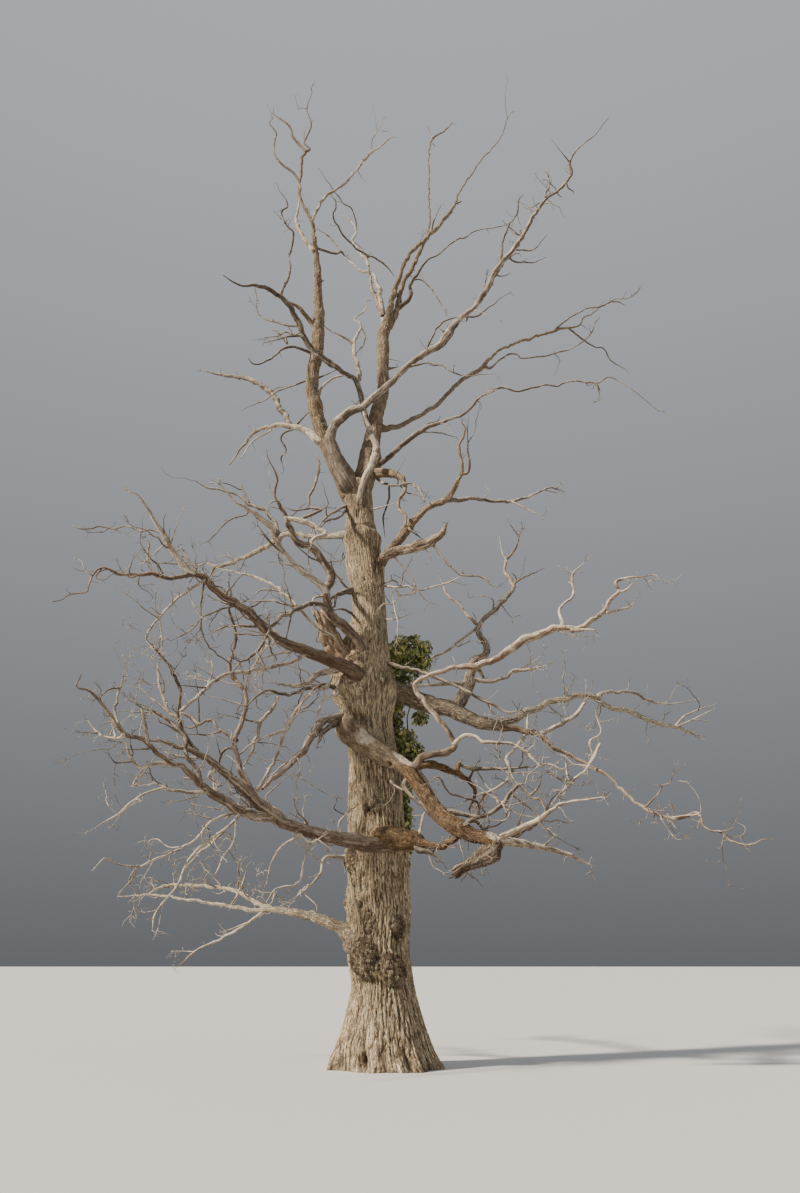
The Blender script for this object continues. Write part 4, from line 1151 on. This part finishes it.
def trunk_skin(z0, z1, around, rings):
    zt = np.array([t[0] for t in TRUNK])
    kern = np.exp(-np.linspace(-2, 2, 31) ** 2)
    kern /= kern.sum()
    zz = np.linspace(-0.5, zt[-1] + 0.5, 700)

    def ease(col):
        v = np.interp(zz, zt, np.array([t[col] for t in TRUNK]))
        return np.convolve(v, kern, "same")

    z = np.linspace(z0, z1, rings)
    X, R = np.interp(z, zz, ease(1)), np.interp(z, zz, ease(2))
    R = np.where(z < 0.3, np.interp(z, zt, np.array([t[2] for t in TRUNK])), R)
    X = np.where(z < 0.3, np.interp(z, zt, np.array([t[1] for t in TRUNK])), X)
    if z1 >= zt[-1]:
        R = np.where(z > zt[-1] - 0.3, np.interp(z, zt, np.array([t[2] for t in TRUNK])), R)
        X = np.where(z > zt[-1] - 0.3, np.interp(z, zt, np.array([t[1] for t in TRUNK])), X)
    th = np.linspace(0, 2 * math.pi, around, endpoint=False)
    T, Z = np.meshgrid(th, z)
    T, Z = T.ravel(), Z.ravel()
    Rg = np.repeat(R, around)
    fade = np.maximum(0, 1 - Z / TOE_HEIGHT)
    toe = np.cos(TOE_COUNT * T + 0.9) + 0.45 * np.cos(3 * T + 2.1)
    r = Rg * (1 + TOE_RELIEF * 0.7 * fade * fade * toe)
    G = np.stack([np.cos(T + 0.03 * Z) * 0.5, np.sin(T + 0.03 * Z) * 0.5, Z], 1)
    # broad unevenness, long shallow flutes
    r += 0.035 * noise(G * [1.6, 1.6, 0.8] + 20) + 0.020 * noise(G * [4.5, 4.5, 1.0] + 27)

    def spot(deg, h, w, tall):
        dt = np.arctan2(np.sin(T - math.radians(deg)), np.cos(T - math.radians(deg))) * Rg
        return dt / w, (Z - h) / tall

    # burrs: rounded masses, steep below, running out above
    knob = np.zeros(len(T))
    under = np.zeros(len(T))
    scab = np.zeros(len(T))
    for deg, h, w, tall, rise in SWELLINGS:
        a, b = spot(deg, h, w, tall)
        r += rise * np.exp(-(a * a + b * b) * 1.1) * (1 + 0.5 * noise(G * 4 + deg))
    for deg, h, w, tall, rise, brown in BURRS:
        a, b = spot(deg, h, w, tall)
        b = np.where(b > 0, b * 0.72, b)
        wob = 0.16 * noise(G * 7 + deg)
        t2 = a * a + b * b + wob
        inside = np.clip(1 - t2, 0, 1)
        r += rise * inside ** np.where(b > 0, 0.85, 0.55)
        knob = np.maximum(knob, step(inside, 0.0, 0.35))
        scab = np.maximum(scab, step(inside, 0.0, 0.35) * brown)
        under = np.maximum(under, np.exp(-((a * 0.9) ** 2 + ((b + 1.02) / 0.22) ** 2)) * min(1.0, rise * 7))
    f1, edge, value = cells(G * 17 + 0.3 * noise(G * 9)[:, None])
    bead = 1 - np.clip(f1 / 0.72, 0, 1) ** 2
    f1b, edge2, value2 = cells(G * 38 + 5)
    bead2 = 1 - np.clip(f1b / 0.75, 0, 1) ** 2
    r += knob * (0.042 * (bead - 0.55) + 0.028 * (bead2 - 0.5) + 0.030 * noise(G * 6.5 + 3))
    # fissured bark: long rounded ropes of it that part and join, wider low on the trunk
    wide = 0.043
    W = G / [wide, wide, wide * 12]
    W[:, 0] += 0.55 * noise(G * [7, 7, 2.2] + 60) + 0.25 * noise(G * [15, 15, 6] + 64)
    W[:, 1] -= 0.55 * noise(G * [7, 7, 2.2] + 62) + 0.25 * noise(G * [15, 15, 6] + 66)
    edge, value = plates(W, 12)
    edge = edge + 0.05 * noise(G * [40, 40, 22] + 9)
    rope = 1 - (1 - np.clip(edge / 0.42, 0, 1)) ** 2
    plate = step(edge, 0.0, 0.20)
    # each rope is broken across into flakes
    cross, vc = plates(W * [0.8, 0.8, 3.4] + 31, 3.4)
    flake = step(cross, 0.0, 0.10)
    depth = np.interp(Z, [0, 1, 3.5, 6.5, 8, 11], [0.030, 0.030, 0.025, 0.020, 0.017, 0.015])
    bark = 1 - 0.85 * knob
    r += bark * depth * (1.0 * (rope - 1) + 0.30 * (value - 0.5) - 0.22 * (1 - flake) + 0.16 * noise(G * [30, 30, 18] + 5))
    relief = plate * (0.72 + 0.28 * flake)
    # torn, flaky bark on the big swelling
    a, b = spot(-160, 6.9, 0.62, 0.95)
    torn = step(1.15 - a * a - b * b, 0.0, 0.5)
    tear, tv = plates(G * [16, 16, 7] + 12, 2.3)
    r += torn * (0.045 * (tv - 0.5) + 0.03 * (step(tear, 0.0, 0.3) - 1) + 0.05 * noise(G * 7 + 50))
    relief = relief * (1 - torn) + torn * (0.25 + 0.75 * step(tear, 0.0, 0.22))
    relief = relief * bark + (1 - bark) * (0.15 + 0.85 * step(edge2, 0.0, 0.35)) * (0.15 + 0.85 * step(bead, 0.15, 0.75))
    dark = 0.85 * under
    for deg, h, w, tall, deep in HOLLOWS:
        a, b = spot(deg, h, w, tall)
        e = np.exp(-(a * a + b * b))
        r -= deep * e
        dark = np.maximum(dark, e)
    # the neck: above a ragged edge of thick bark the trunk is slimmer
    brink = Z + 0.05 * noise(G * [5, 5, 1]) + 0.03 * np.cos(T * 3 + 1)
    r += 0.045 * np.exp(-((brink - 9.62) / 0.13) ** 2) * (1 + 0.6 * noise(G * 9)) - 0.030 * step(brink, 9.70, 9.78)
    relief = np.minimum(relief, 1 - 0.8 * np.exp(-((brink - 9.79) / 0.025) ** 2) * step(noise(G * [3, 3, 1] + 71), -0.25, 0.1))
    # a ridge of wound wood round the trunk under the fork
    ring = np.exp(-((Z - 9.88 - 0.05 * np.cos(T * 2 + 1)) / 0.05) ** 2)
    r += 0.022 * ring * (0.7 + noise(G * 6 + 2))
    relief = 1 - (1 - relief) * np.interp(Z, [3, 6.5], [1.0, 0.85])
    relief = relief * (1 - 0.95 * dark)
    # tone: brown scabby wood on the burrs, round them and in patches
    tone = np.clip(scab * 0.82 + 0.9 * step(noise(G * [2.6, 2.6, 1.3] + 44), 0.20, 0.42) * step(Z, 1.7, 2.2), 0, 1)
    tone = np.maximum(tone, 0.8 * np.exp(-((Z - 9.7) / 0.16) ** 2) * step(np.cos(T - math.radians(-140)), 0.2, 0.9))
    tone = np.maximum(tone, 0.75 * step(0.35 - Z, 0, 0.3) * step(noise(G * [4, 4, 3] + 2), -0.1, 0.2))
    Xg = np.repeat(X, around)
    V = np.stack([Xg + np.cos(T) * r, np.sin(T) * r * BASE_DEPTH_RATIO, Z], 1)
    return V, G, relief, tone, X


for part, (z0, z1, around, rings) in enumerate(TRUNK_PARTS):
    V, G, relief, tone, X = trunk_skin(z0, z1 + (0.015 if part < 2 else 0.0), around, rings)
    F = grid_faces(rings, around)
    if part == 0:
        foot = len(V)
        V = np.vstack([V, [[0.0, 0.0, 0.0]]])
        G, relief, tone = np.vstack([G, [[0, 0, 0]]]), np.append(relief, 0.5), np.append(tone, 0.5)
        F += [[foot, (j + 1) % around, j] for j in range(around)]
    if part == 2:
        # a low dome closes the fork
        start, last, c = len(V), V[-around:], np.array([X[-1], 0, z1])
        for up, k in ((0.045, 0.9), (0.08, 0.7), (0.10, 0.4)):
            ringv = c + (last - c) * k + [0, 0, up]
            ringv[:, 2] += 0.02 * noise(ringv * 9)
            V = np.vstack([V, ringv])
            G, relief, tone = np.vstack([G, G[start - around:start]]), np.append(relief, np.full(around, 0.8)), np.append(tone, np.zeros(around))
        F += grid_faces(4, around, start - around)
        tip = len(V)
        V = np.vstack([V, c + [0, 0, 0.11]])
        G, relief, tone = np.vstack([G, [[0, 0, z1]]]), np.append(relief, 0.8), np.append(tone, 0)
        F += [[tip, tip - around + j, tip - around + (j + 1) % around] for j in range(around)]
    V[:, 2] = np.maximum(V[:, 2], 0.0)
    add_mesh("trunk_bark_" + "abc"[part], V, F, {"grain": G, "relief": relief, "tone": tone}, TRUNK_MAT,
             ["trunk"] if part == 0 else [])

# ---------------------------------------------------------------- limbs
# limbs whose wood looks different from the rest of their kind
LOOKS = {"right_bough": "palebark", "drooping_right_bough": "brown", "front_stub": "bark", "rust_bough_pale_fork": "pale", "rust_bough_brown_fork": "pale", "low_left_bough_inner": "brown",
         "rising_right_bough": "brown", "twisted_left_bough": "brown"}
# lengths where the bark has fallen off: from, to, how narrow, which way it faces
PEELED = {"front_stub": ((0.26, 0.78, 0.74, (-0.1, -0.80, 0.60)), (1.10, 1.75, 0.66, (0.1, -0.45, 0.9))),
          "rust_bough": ((2.1, 2.9, 0.62, (-0.2, -0.5, 0.8)),),
          "great_left_bough": ((1.2, 3.2, 0.72, (-0.3, -0.3, 0.9)),),
          "low_left_bough_inner": ((0.9, 2.4, 0.80, (-0.3, -0.3, 0.9)),)}
# how darkly stained a limb is at distances along it
TONES = {"front_stub": ((0, 0.1), (0.6, 0.3), (1.6, 0.25)), "right_bough_pale_fork": ((0, 0.3), (0.5, 0.0)),
         "peeled_right_bough": ((0, 0.9), (0.9, 0.7), (1.7, 0.0)), "upper_right_bough": ((0, 0.5), (0.6, 0.2), (2, 0)),
         "rust_bough_pale_fork": ((0, 0.4), (0.5, 0.0)), "rising_right_bough": ((0, 0.6), (0.8, 0.2), (2, 0)),
         "right_bough": ((0, 0.95), (2.2, 0.85), (2.8, 0.15), (3.3, 0.0)), "drooping_right_bough": ((0, 1.0), (1.0, 0.6), (2.5, 0.1)),
         "great_left_bough": ((0, 0.9), (0.9, 0.5), (2.0, 0.0)), "rust_bough": ((0, 0.15), (1.5, 0.5), (3, 0.2)),
         "diagonal_bough": ((0, 0.55), (0.7, 0.75), (1.1, 0.6), (1.5, 0.1), (2.2, 0.0)), "lowest_left_bough": ((0, 0.85), (0.7, 0.55), (1.5, 0.1), (2.2, 0.0)), "left_leader": ((0, 0.35), (1.2, 0.5), (2.2, 0.0)), "low_left_bough_inner": ((0, 0.9), (0.7, 0.3), (1.5, 0.0)),
         "twisted_left_bough": ((0, 0.9), (0.8, 0.3), (1.4, 0.0)), "curling_bough": ((0, 0.6), (0.8, 0.2), (1.2, 0.0))}
hosts = Hosts()
hosts.add(np.array([(x, 0, z) for z, x, r in TRUNK]), np.array([r for z, x, r in TRUNK]), -1)
walked = [walk(at, root, legs) for kind, nodes, at, root, legs in LIMBS.values()]
for i, (pts, rad) in enumerate(walked):
    hosts.add(pts, rad, i)
sides = [walk(at, root, legs) for kind, at, root, legs in SIDE_BRANCHES]
for pts, rad in sides:
    rad[-1] *= 0.55
paths = []      # every limb and branch, for the twigs to grow on: points, radii, kind, share of twigs
for i, (name, (kind, nodes, at, root, legs)) in enumerate(LIMBS.items()):
    pts, rad = walked[i]
    look = LOOKS.get(name, kind)
    host = hosts.find(pts[0], rad[0], i)
    grown, girth, out = rooted(pts, rad, host)
    leader = name in ("left_leader", "centre_leader")
    V, F, G, plate = limb_skin(grown, girth, look, 100 + i, flare=0.0 if leader else min(0.34, max(0.0, 1.34 - rad[0] / rad[2])), out=out)
    tone = np.zeros(len(V))
    if name in TONES:
        tone = np.interp(G[:, 2] - out + 0.25 * noise(G * [9, 9, 1.5]), *zip(*TONES[name]))
    bare = np.zeros(len(V))
    if name in PEELED:
        along = np.concatenate([[0], np.cumsum(np.linalg.norm(np.diff(grown, axis=0), axis=1))])
        outward = V - np.array([np.interp(G[:, 2], along, grown[:, a]) for a in range(3)]).T
        outward /= np.linalg.norm(outward, axis=1)[:, None] + 1e-9
        where = G[:, 2] - out
        for lo, hi, facing, way in PEELED[name]:
            way = np.array(way) / np.linalg.norm(way)
            near_it = outward @ way + 0.45 * noise(G * [8, 8, 3] + 8)
            near_it -= 1.2 * np.maximum(0, np.maximum(lo - where, where - hi) / 0.12 + 0.5)
            bare = np.maximum(bare, step(near_it, facing, facing + 0.14))
        plate = np.maximum(plate, 0.9 * bare)
    add_mesh("wood_" + name, V, F, {"grain": G, "relief": plate, "tone": tone, "bare": bare}, MAT[look], nodes)
    paths.append((pts, rad, look, 1.0, name))

# ---------------------------------------------------------------- smaller branches
GROUPS = {"bark": "brown", "umber": "brown", "palebark": "lichen", "lichen": "lichen", "dark": "dark", "brown": "brown", "two": "brown",
          "rust": "rust", "rustdark": "rust", "pink": "pale", "pale": "pale", "white": "white", "peel": "pale",
          "split": "rust", "splinter": "rust", "tan": "rust"}
heaps = {}
for i, (pts, rad) in enumerate(sides):
    hosts.add(pts, rad, 1000 + i)
for i, (kind, at, root, legs) in enumerate(SIDE_BRANCHES):
    pts, rad = sides[i]
    grown, girth, out = rooted(pts, rad, hosts.find(pts[0], rad[0], 1000 + i))
    V, F, G, plate = limb_skin(grown, girth, kind, 900 + i, spacing=0.03, around=7 if max(rad) < 0.03 else 12, out=out, cap=0.0)
    heaps.setdefault(GROUPS[kind], Heap()).add(V, F, G, plate)
    paths.append((pts, rad, kind, 0.8, "side"))

# ---------------------------------------------------------------- twigs by a seeded rule
rng = np.random.default_rng(SEED + 5)
low = np.array(cad_low) + 0.05
high = np.array(cad_high) - 0.05


def grow(start, direction, r0, length, heap, level=0, kind="dark"):
    """A crooked twig: short legs that turn a little, sometimes a lot, and fork."""
    p = np.array(start, float)
    d = np.array(direction, float)
    d /= np.linalg.norm(d)
    pts, rad = [p.copy()], [r0]
    run = 0.0
    forks = []
    while run < length:
        leg = rng.uniform(0.05, 0.11) * (1.0 if length > 0.3 else 0.6)
        turn = rng.normal(size=3) * (0.34 if rng.random() > 0.22 else 0.75)
        d = d + turn + np.array([0, 0, 0.05])
        d /= np.linalg.norm(d)
        p = p + d * leg
        if np.any(p < low) or np.any(p > high):
            break
        run += leg
        t = min(1.0, run / length)
        pts.append(p.copy())
        rad.append(r0 * (1 - 0.62 * t) + 0.0010)
        if level < 2 and run < length * 0.85 and rng.random() < (0.26 if level == 0 else 0.14):
            forks.append((p.copy(), d.copy(), rad[-1] * 0.8, (length - run) * rng.uniform(0.4, 0.9)))
    if len(pts) < 2:
        return
    V, F, G, plate = limb_skin(np.array(pts), np.array(rad), kind, int(rng.integers(5000, 9000)),
                               around=5 if r0 > 0.006 else 4, spacing=0.05, flare=0.3 if level == 0 else 0.0, cap=0.0, wiggle=0.0)
    heap.add(V, F, G, plate)
    for (q, dd, r, ll) in forks:
        side = np.cross(dd, rng.normal(size=3))
        side /= np.linalg.norm(side) + 1e-9
        grow(q, dd * 0.6 + side * 0.8, r, ll, heap, level + 1, kind)


TWIGS = {}      # heaps of twigs by colour


def spurs(pts, rad, kind, share, name):
    """Short spurs and longer twigs along a limb, and a few that carry on past its tip."""
    seg = np.linalg.norm(np.diff(pts, axis=0), axis=1)
    s = np.concatenate([[0], np.cumsum(seg)])
    total = s[-1]
    back = name.startswith("back_")
    small = name == "side"
    height = float(pts[:, 2].mean())
    share = share * float(np.interp(height, [8.0, 10.5], [1.0, 0.42]))
    key = "pale" if GROUPS[kind] in ("pale", "white", "lichen") else ("brown" if GROUPS[kind] in ("brown", "rust") else "dark")

    def colour():
        if rng.random() < 0.3:
            return ("pale", "dark", "brown")[int(rng.integers(3))]
        return key

    for _ in range(rng.poisson(total * (2.7 if small else 2.0 if not back else 1.3) * share)):
        at = total * rng.uniform(0.10, 1.0) ** 0.75
        p = np.array([np.interp(at, s, pts[:, a]) for a in range(3)])
        r = float(np.interp(at, s, rad))
        j = min(np.searchsorted(s, at), len(pts) - 1)
        d = pts[j] - pts[max(j - 1, 0)]
        d = d / (np.linalg.norm(d) + 1e-9)
        side = np.cross(d, rng.normal(size=3))
        side /= np.linalg.norm(side) + 1e-9
        if rng.random() < 0.62:
            length = rng.uniform(0.05, 0.17)
        else:
            length = rng.uniform(0.15, 0.45) * (1.4 if back else 1.0) * min(1.3, 0.6 + r * 14)
        r0 = float(np.clip(min(0.55 * r, 0.0052 + length * 0.012), 0.0030, 0.018))
        c = colour()
        grow(p, side * 0.9 + d * 0.5, r0, length + r, TWIGS.setdefault(c, Heap()), 0, c)
    if rad[-1] < 0.03:
        d = pts[-1] - pts[-2]
        d = d / (np.linalg.norm(d) + 1e-9)
        for _ in range(int(rng.integers(1, 4)) if height < 9 else int(rng.integers(0, 2))):
            grow(pts[-1], d + rng.normal(size=3) * 0.35, float(np.clip(rad[-1] * 0.9, 0.003, 0.009)), rng.uniform(0.08, 0.28),
                 TWIGS.setdefault(key, Heap()), 0, key)


def shoots(pts, rad, kind, name):
    """Thin side branches of a metre or less, thickest among the low left boughs."""
    seg = np.linalg.norm(np.diff(pts, axis=0), axis=1)
    s = np.concatenate([[0], np.cumsum(seg)])
    total = s[-1]
    middle = pts[len(pts) // 2]
    crowd = 0.12 if middle[2] > 10 and not name.startswith("back_") else 1.5 if (middle[0] < -1.2 and 2.8 < middle[2] < 8.2) else 0.85 if (middle[0] > 0.9 and 3.0 < middle[2] < 7.0) else 0.40
    for _ in range(rng.poisson(total * crowd)):
        at = total * rng.uniform(0.25, 0.98)
        r = float(np.interp(at, s, rad))
        if r > 0.085:
            continue
        p = np.array([np.interp(at, s, pts[:, a]) for a in range(3)])
        j = min(np.searchsorted(s, at), len(pts) - 1)
        d = pts[j] - pts[max(j - 1, 0)]
        d = d / (np.linalg.norm(d) + 1e-9)
        side = np.cross(d, rng.normal(size=3))
        side /= np.linalg.norm(side) + 1e-9
        dd = side * 0.85 + d * 0.6 + np.array([0, 0, 0.12])
        length = rng.uniform(0.35, 1.05)
        rr = min(0.6 * r, 0.006 + 0.010 * length)
        q, P, R, run = p.copy(), [p.copy()], [rr], 0.0
        while run < length:
            leg = rng.uniform(0.06, 0.16)
            dd = dd / np.linalg.norm(dd) + rng.normal(size=3) * 0.30 + np.array([0, 0, 0.05])
            dd /= np.linalg.norm(dd)
            q = q + dd * leg
            if np.any(q < low) or np.any(q > high):
                break
            run += leg
            P.append(q.copy())
            R.append(rr * (1 - 0.75 * min(1, run / length)) + 0.001)
        if len(P) < 3:
            continue
        P, R = np.array(P), np.array(R)
        look = kind if rng.random() < 0.6 else ("lichen", "dark", "pale", "brown")[int(rng.integers(4))]
        V, F, G, plate = limb_skin(P, R, look, 12000 + int(rng.integers(0, 9999)), spacing=0.045, around=6, cap=0.0)
        heaps.setdefault(GROUPS[look], Heap()).add(V, F, G, plate)
        spurs(P, R, look, 1.3, "side")


def far_branches(pts, rad, kind, name):
    """The side branches of a bough on the far side of the tree."""
    seg = np.linalg.norm(np.diff(pts, axis=0), axis=1)
    s = np.concatenate([[0], np.cumsum(seg)])
    total = s[-1]
    heap = heaps.setdefault(GROUPS[kind], Heap())
    n = max(3, int(total / 0.62))
    for k in range(n):
        at = total * (0.25 + 0.72 * (k + rng.uniform(0.1, 0.9)) / n)
        p = np.array([np.interp(at, s, pts[:, a]) for a in range(3)])
        r = float(np.interp(at, s, rad))
        j = min(np.searchsorted(s, at), len(pts) - 1)
        d = pts[j] - pts[max(j - 1, 0)]
        d = d / (np.linalg.norm(d) + 1e-9)
        side = np.cross(d, np.array([0, 0, 1.0])) * (1 if k % 2 else -1) + rng.normal(size=3) * 0.45
        side[1] += 0.25
        side /= np.linalg.norm(side) + 1e-9
        length = rng.uniform(0.7, 1.5) * (1 - 0.35 * at / total)
        q, dd, rr = p.copy(), side * 0.8 + d * 0.5, min(0.6 * r, 0.028)
        P, R = [q.copy()], [rr]
        run = 0.0
        while run < length:
            leg = rng.uniform(0.10, 0.2)
            dd = dd / np.linalg.norm(dd) + rng.normal(size=3) * 0.28 + np.array([0, 0, 0.08])
            dd /= np.linalg.norm(dd)
            q = q + dd * leg
            if np.any(q < low) or np.any(q > high):
                break
            run += leg
            P.append(q.copy())
            R.append(rr * (1 - 0.8 * min(1, run / length)) + 0.002)
        if len(P) < 3:
            continue
        P, R = np.array(P), np.array(R)
        V, F, G, plate = limb_skin(P, R, kind, 3000 + int(rng.integers(0, 999)), spacing=0.04, around=7, cap=0.0)
        heap.add(V, F, G, plate)
        spurs(P, R, kind, 1.5, name)


for pts, rad, kind, share, name in list(paths):
    spurs(pts, rad, kind, share, name)
    shoots(pts, rad, kind, name)
    if name.startswith("back_"):
        far_branches(pts, rad, kind, name)

for key, heap in heaps.items():
    heap.build("branches_" + key, MAT[key], "wood_" + key)
    print("branches", key, heap.triangles())
for key, heap in TWIGS.items():
    heap.build("twigs_" + key, MAT[key], "wood_" + key)
    print("twigs", key, heap.triangles())

# ---------------------------------------------------------------- ivy
IVY_GREENS = [("deep", (0.080, 0.100, 0.030)), ("mid", (0.20, 0.23, 0.068)), ("bright", (0.34, 0.36, 0.11)), ("olive", (0.40, 0.36, 0.14))]
# masses of leaves: middle, half sizes, leaves
IVY_MASSES = [
    ((0.42, 0.50, 7.40), (0.44, 0.34, 0.30), 620), ((0.12, 0.42, 7.22), (0.22, 0.28, 0.30), 190), ((0.66, 0.52, 7.18), (0.22, 0.24, 0.22), 150),
    ((0.34, 0.45, 6.86), (0.30, 0.22, 0.24), 190), ((0.18, 0.38, 6.52), (0.18, 0.20, 0.30), 140), ((0.62, 0.60, 6.05), (0.16, 0.16, 0.18), 90),
    ((0.16, 0.42, 6.05), (0.16, 0.26, 0.34), 190), ((0.28, 0.44, 5.52), (0.26, 0.28, 0.30), 330), ((0.50, 0.50, 5.36), (0.20, 0.20, 0.20), 130),
    ((0.22, 0.46, 5.02), (0.17, 0.28, 0.30), 220), ((0.26, 0.50, 4.55), (0.18, 0.26, 0.32), 230), ((0.30, 0.52, 4.10), (0.17, 0.24, 0.30), 210),
    ((0.30, 0.54, 3.68), (0.20, 0.24, 0.26), 240), ((0.26, 0.60, 3.34), (0.16, 0.20, 0.20), 130), ((-0.20, 0.50, 6.1), (0.24, 0.18, 0.40), 180),
    ((-0.05, 0.55, 4.9), (0.24, 0.16, 0.45), 170), ((-0.05, 0.58, 7.1), (0.24, 0.20, 0.30), 150),
]
LEAF = np.array([[0, 0, 0], [0.32, -0.12, 0.05], [0.50, 0.22, 0.06], [0.27, 0.42, 0.10], [0.30, 0.62, 0.06], [0, 1.0, -0.04],
                 [-0.30, 0.62, 0.06], [-0.27, 0.42, 0.10], [-0.50, 0.22, 0.06], [-0.32, -0.12, 0.05], [0, 0.42, -0.02]])
LEAF_F = [[10, 0, 1], [10, 1, 2], [10, 2, 3], [10, 3, 4], [10, 4, 5], [10, 5, 6], [10, 6, 7], [10, 7, 8], [10, 8, 9], [10, 9, 0]]
leaf_heaps = {k: [[], [], 0] for k, _ in IVY_GREENS}
for centre, half, count in IVY_MASSES:
    centre, half = np.array(centre), np.array(half)
    for _ in range(int(count * 1.6)):
        way = rng.normal(size=3)
        way /= np.linalg.norm(way)
        clump = noise(((centre + way * half) * 5.0)[None])[0]
        reach = rng.uniform(0.45, 1.0) ** 0.6 * (1.0 + 0.55 * clump)
        p = centre + way * half * reach
        n = way / half
        n /= np.linalg.norm(n)
        size = rng.uniform(0.050, 0.088)
        down = np.array([0, 0, -1.0]) + rng.normal(size=3) * 0.5
        z = n + rng.normal(size=3) * 0.5 + np.array([0, 0, 0.35])
        z /= np.linalg.norm(z)
        y = down - z * down.dot(z)
        y /= np.linalg.norm(y) + 1e-9
        x = np.cross(y, z)
        v = p + (LEAF[:, :1] * x + LEAF[:, 1:2] * y + LEAF[:, 2:] * z) * size
        u = rng.random() + clump * 0.8 + 0.25 * (reach - 0.8) + 0.12 * way[2]
        key = "deep" if u < 0.30 else "mid" if u < 0.62 else "bright" if u < 0.88 else "olive"
        h = leaf_heaps[key]
        h[0].append(v)
        h[1].extend([[i + h[2] for i in f] for f in LEAF_F])
        h[2] += len(v)
for key, colour in IVY_GREENS:
    vs, fs, n = leaf_heaps[key]
    if n:
        add_mesh("ivy_leaves_" + key, np.vstack(vs), fs, {}, leaf_material("ivy_" + key, colour, colour),
                 ["ivy_upper", "ivy_middle", "ivy_lower"] if key == "mid" else [], smooth=False)
        print("ivy", key, len(fs))

# stems of the ivy up the shaded side of the trunk
stems = Heap()
for x0, y0, z0, x1, y1, z1 in [(0.20, 0.50, 1.2, 0.10, 0.42, 7.2), (0.32, 0.36, 2.2, 0.12, 0.34, 6.6), (0.02, 0.56, 0.3, -0.02, 0.48, 6.9),
                               (0.28, 0.46, 3.0, 0.45, 0.46, 7.3)]:
    n = 26
    P = np.array([[x0 + (x1 - x0) * i / n, y0 + (y1 - y0) * i / n, z0 + (z1 - z0) * i / n] for i in range(n + 1)])
    w = noise(P * 2.1 + x0 * 31)
    P[:, 0] += 0.10 * w
    P[:, 1] += 0.06 * noise(P * 2.3 + 9)
    V, F, G, plate = limb_skin(P, np.linspace(0.022, 0.009, n + 1), "brown", 7000 + int(100 * z0), spacing=0.06, around=7, flare=0, cap=0.0)
    stems.add(V, F, G, plate)
stems.build("ivy_stems", MAT["umber"], "ivy_leaves")

# ---------------------------------------------------------------- stage
floor = bpy.data.meshes.new("floor")
floor.from_pydata([(-400, -400, 0), (400, -400, 0), (400, 400, 0), (-400, 400, 0)], [], [(0, 1, 2, 3)])
floor_ob = bpy.data.objects.new("floor", floor)
bpy.context.scene.collection.objects.link(floor_ob)
fm, fn, fl, fb = new_material("floor_pale")
fb.inputs["Base Color"].default_value = (0.62, 0.61, 0.59, 1)
fb.inputs["Roughness"].default_value = 0.9
floor.materials.append(fm)

world = bpy.data.worlds.new("studio")
world.use_nodes = True
world.node_tree.nodes["Background"].inputs["Color"].default_value = (0.80, 0.83, 0.88, 1)
# a soft sky, paler overhead than at the horizon
wn, wl = world.node_tree.nodes, world.node_tree.links
high_up = wn.new("ShaderNodeSeparateXYZ")
wl.new(wn.new("ShaderNodeTexCoord").outputs["Generated"], high_up.inputs[0])
wl.new(range_node(wn, wl, high_up.outputs["Z"], 0.0, 0.85, 0.17, 0.60), wn["Background"].inputs["Strength"])
bpy.context.scene.world = world


def sun(name, direction, strength, colour, angle):
    li = bpy.data.lights.new(name, "SUN")
    li.energy = strength
    li.color = colour
    li.angle = math.radians(angle)
    ob = bpy.data.objects.new(name, li)
    bpy.context.scene.collection.objects.link(ob)
    d = np.array(direction, float)
    from mathutils import Vector
    ob.rotation_euler = Vector(d).to_track_quat("-Z", "Y").to_euler()
    return ob


sun("key", (0.88, 0.42, -0.58), 8.8, (1.0, 0.91, 0.78), 4)
sun("fill", (-0.7, 0.5, -0.35), 0.25, (0.85, 0.92, 1.0), 40)

cam = bpy.data.cameras.new("camera")
cam.sensor_width = 36
cam.sensor_fit = "AUTO"
cam.lens = 27.16
cam.clip_end = 2000
cam_ob = bpy.data.objects.new("camera", cam)
cam_ob.location = (0.23, -16.6, 1.6)
cam_ob.rotation_euler = (math.radians(90 + 22.14), 0, 0)
bpy.context.scene.collection.objects.link(cam_ob)
bpy.context.scene.camera = cam_ob
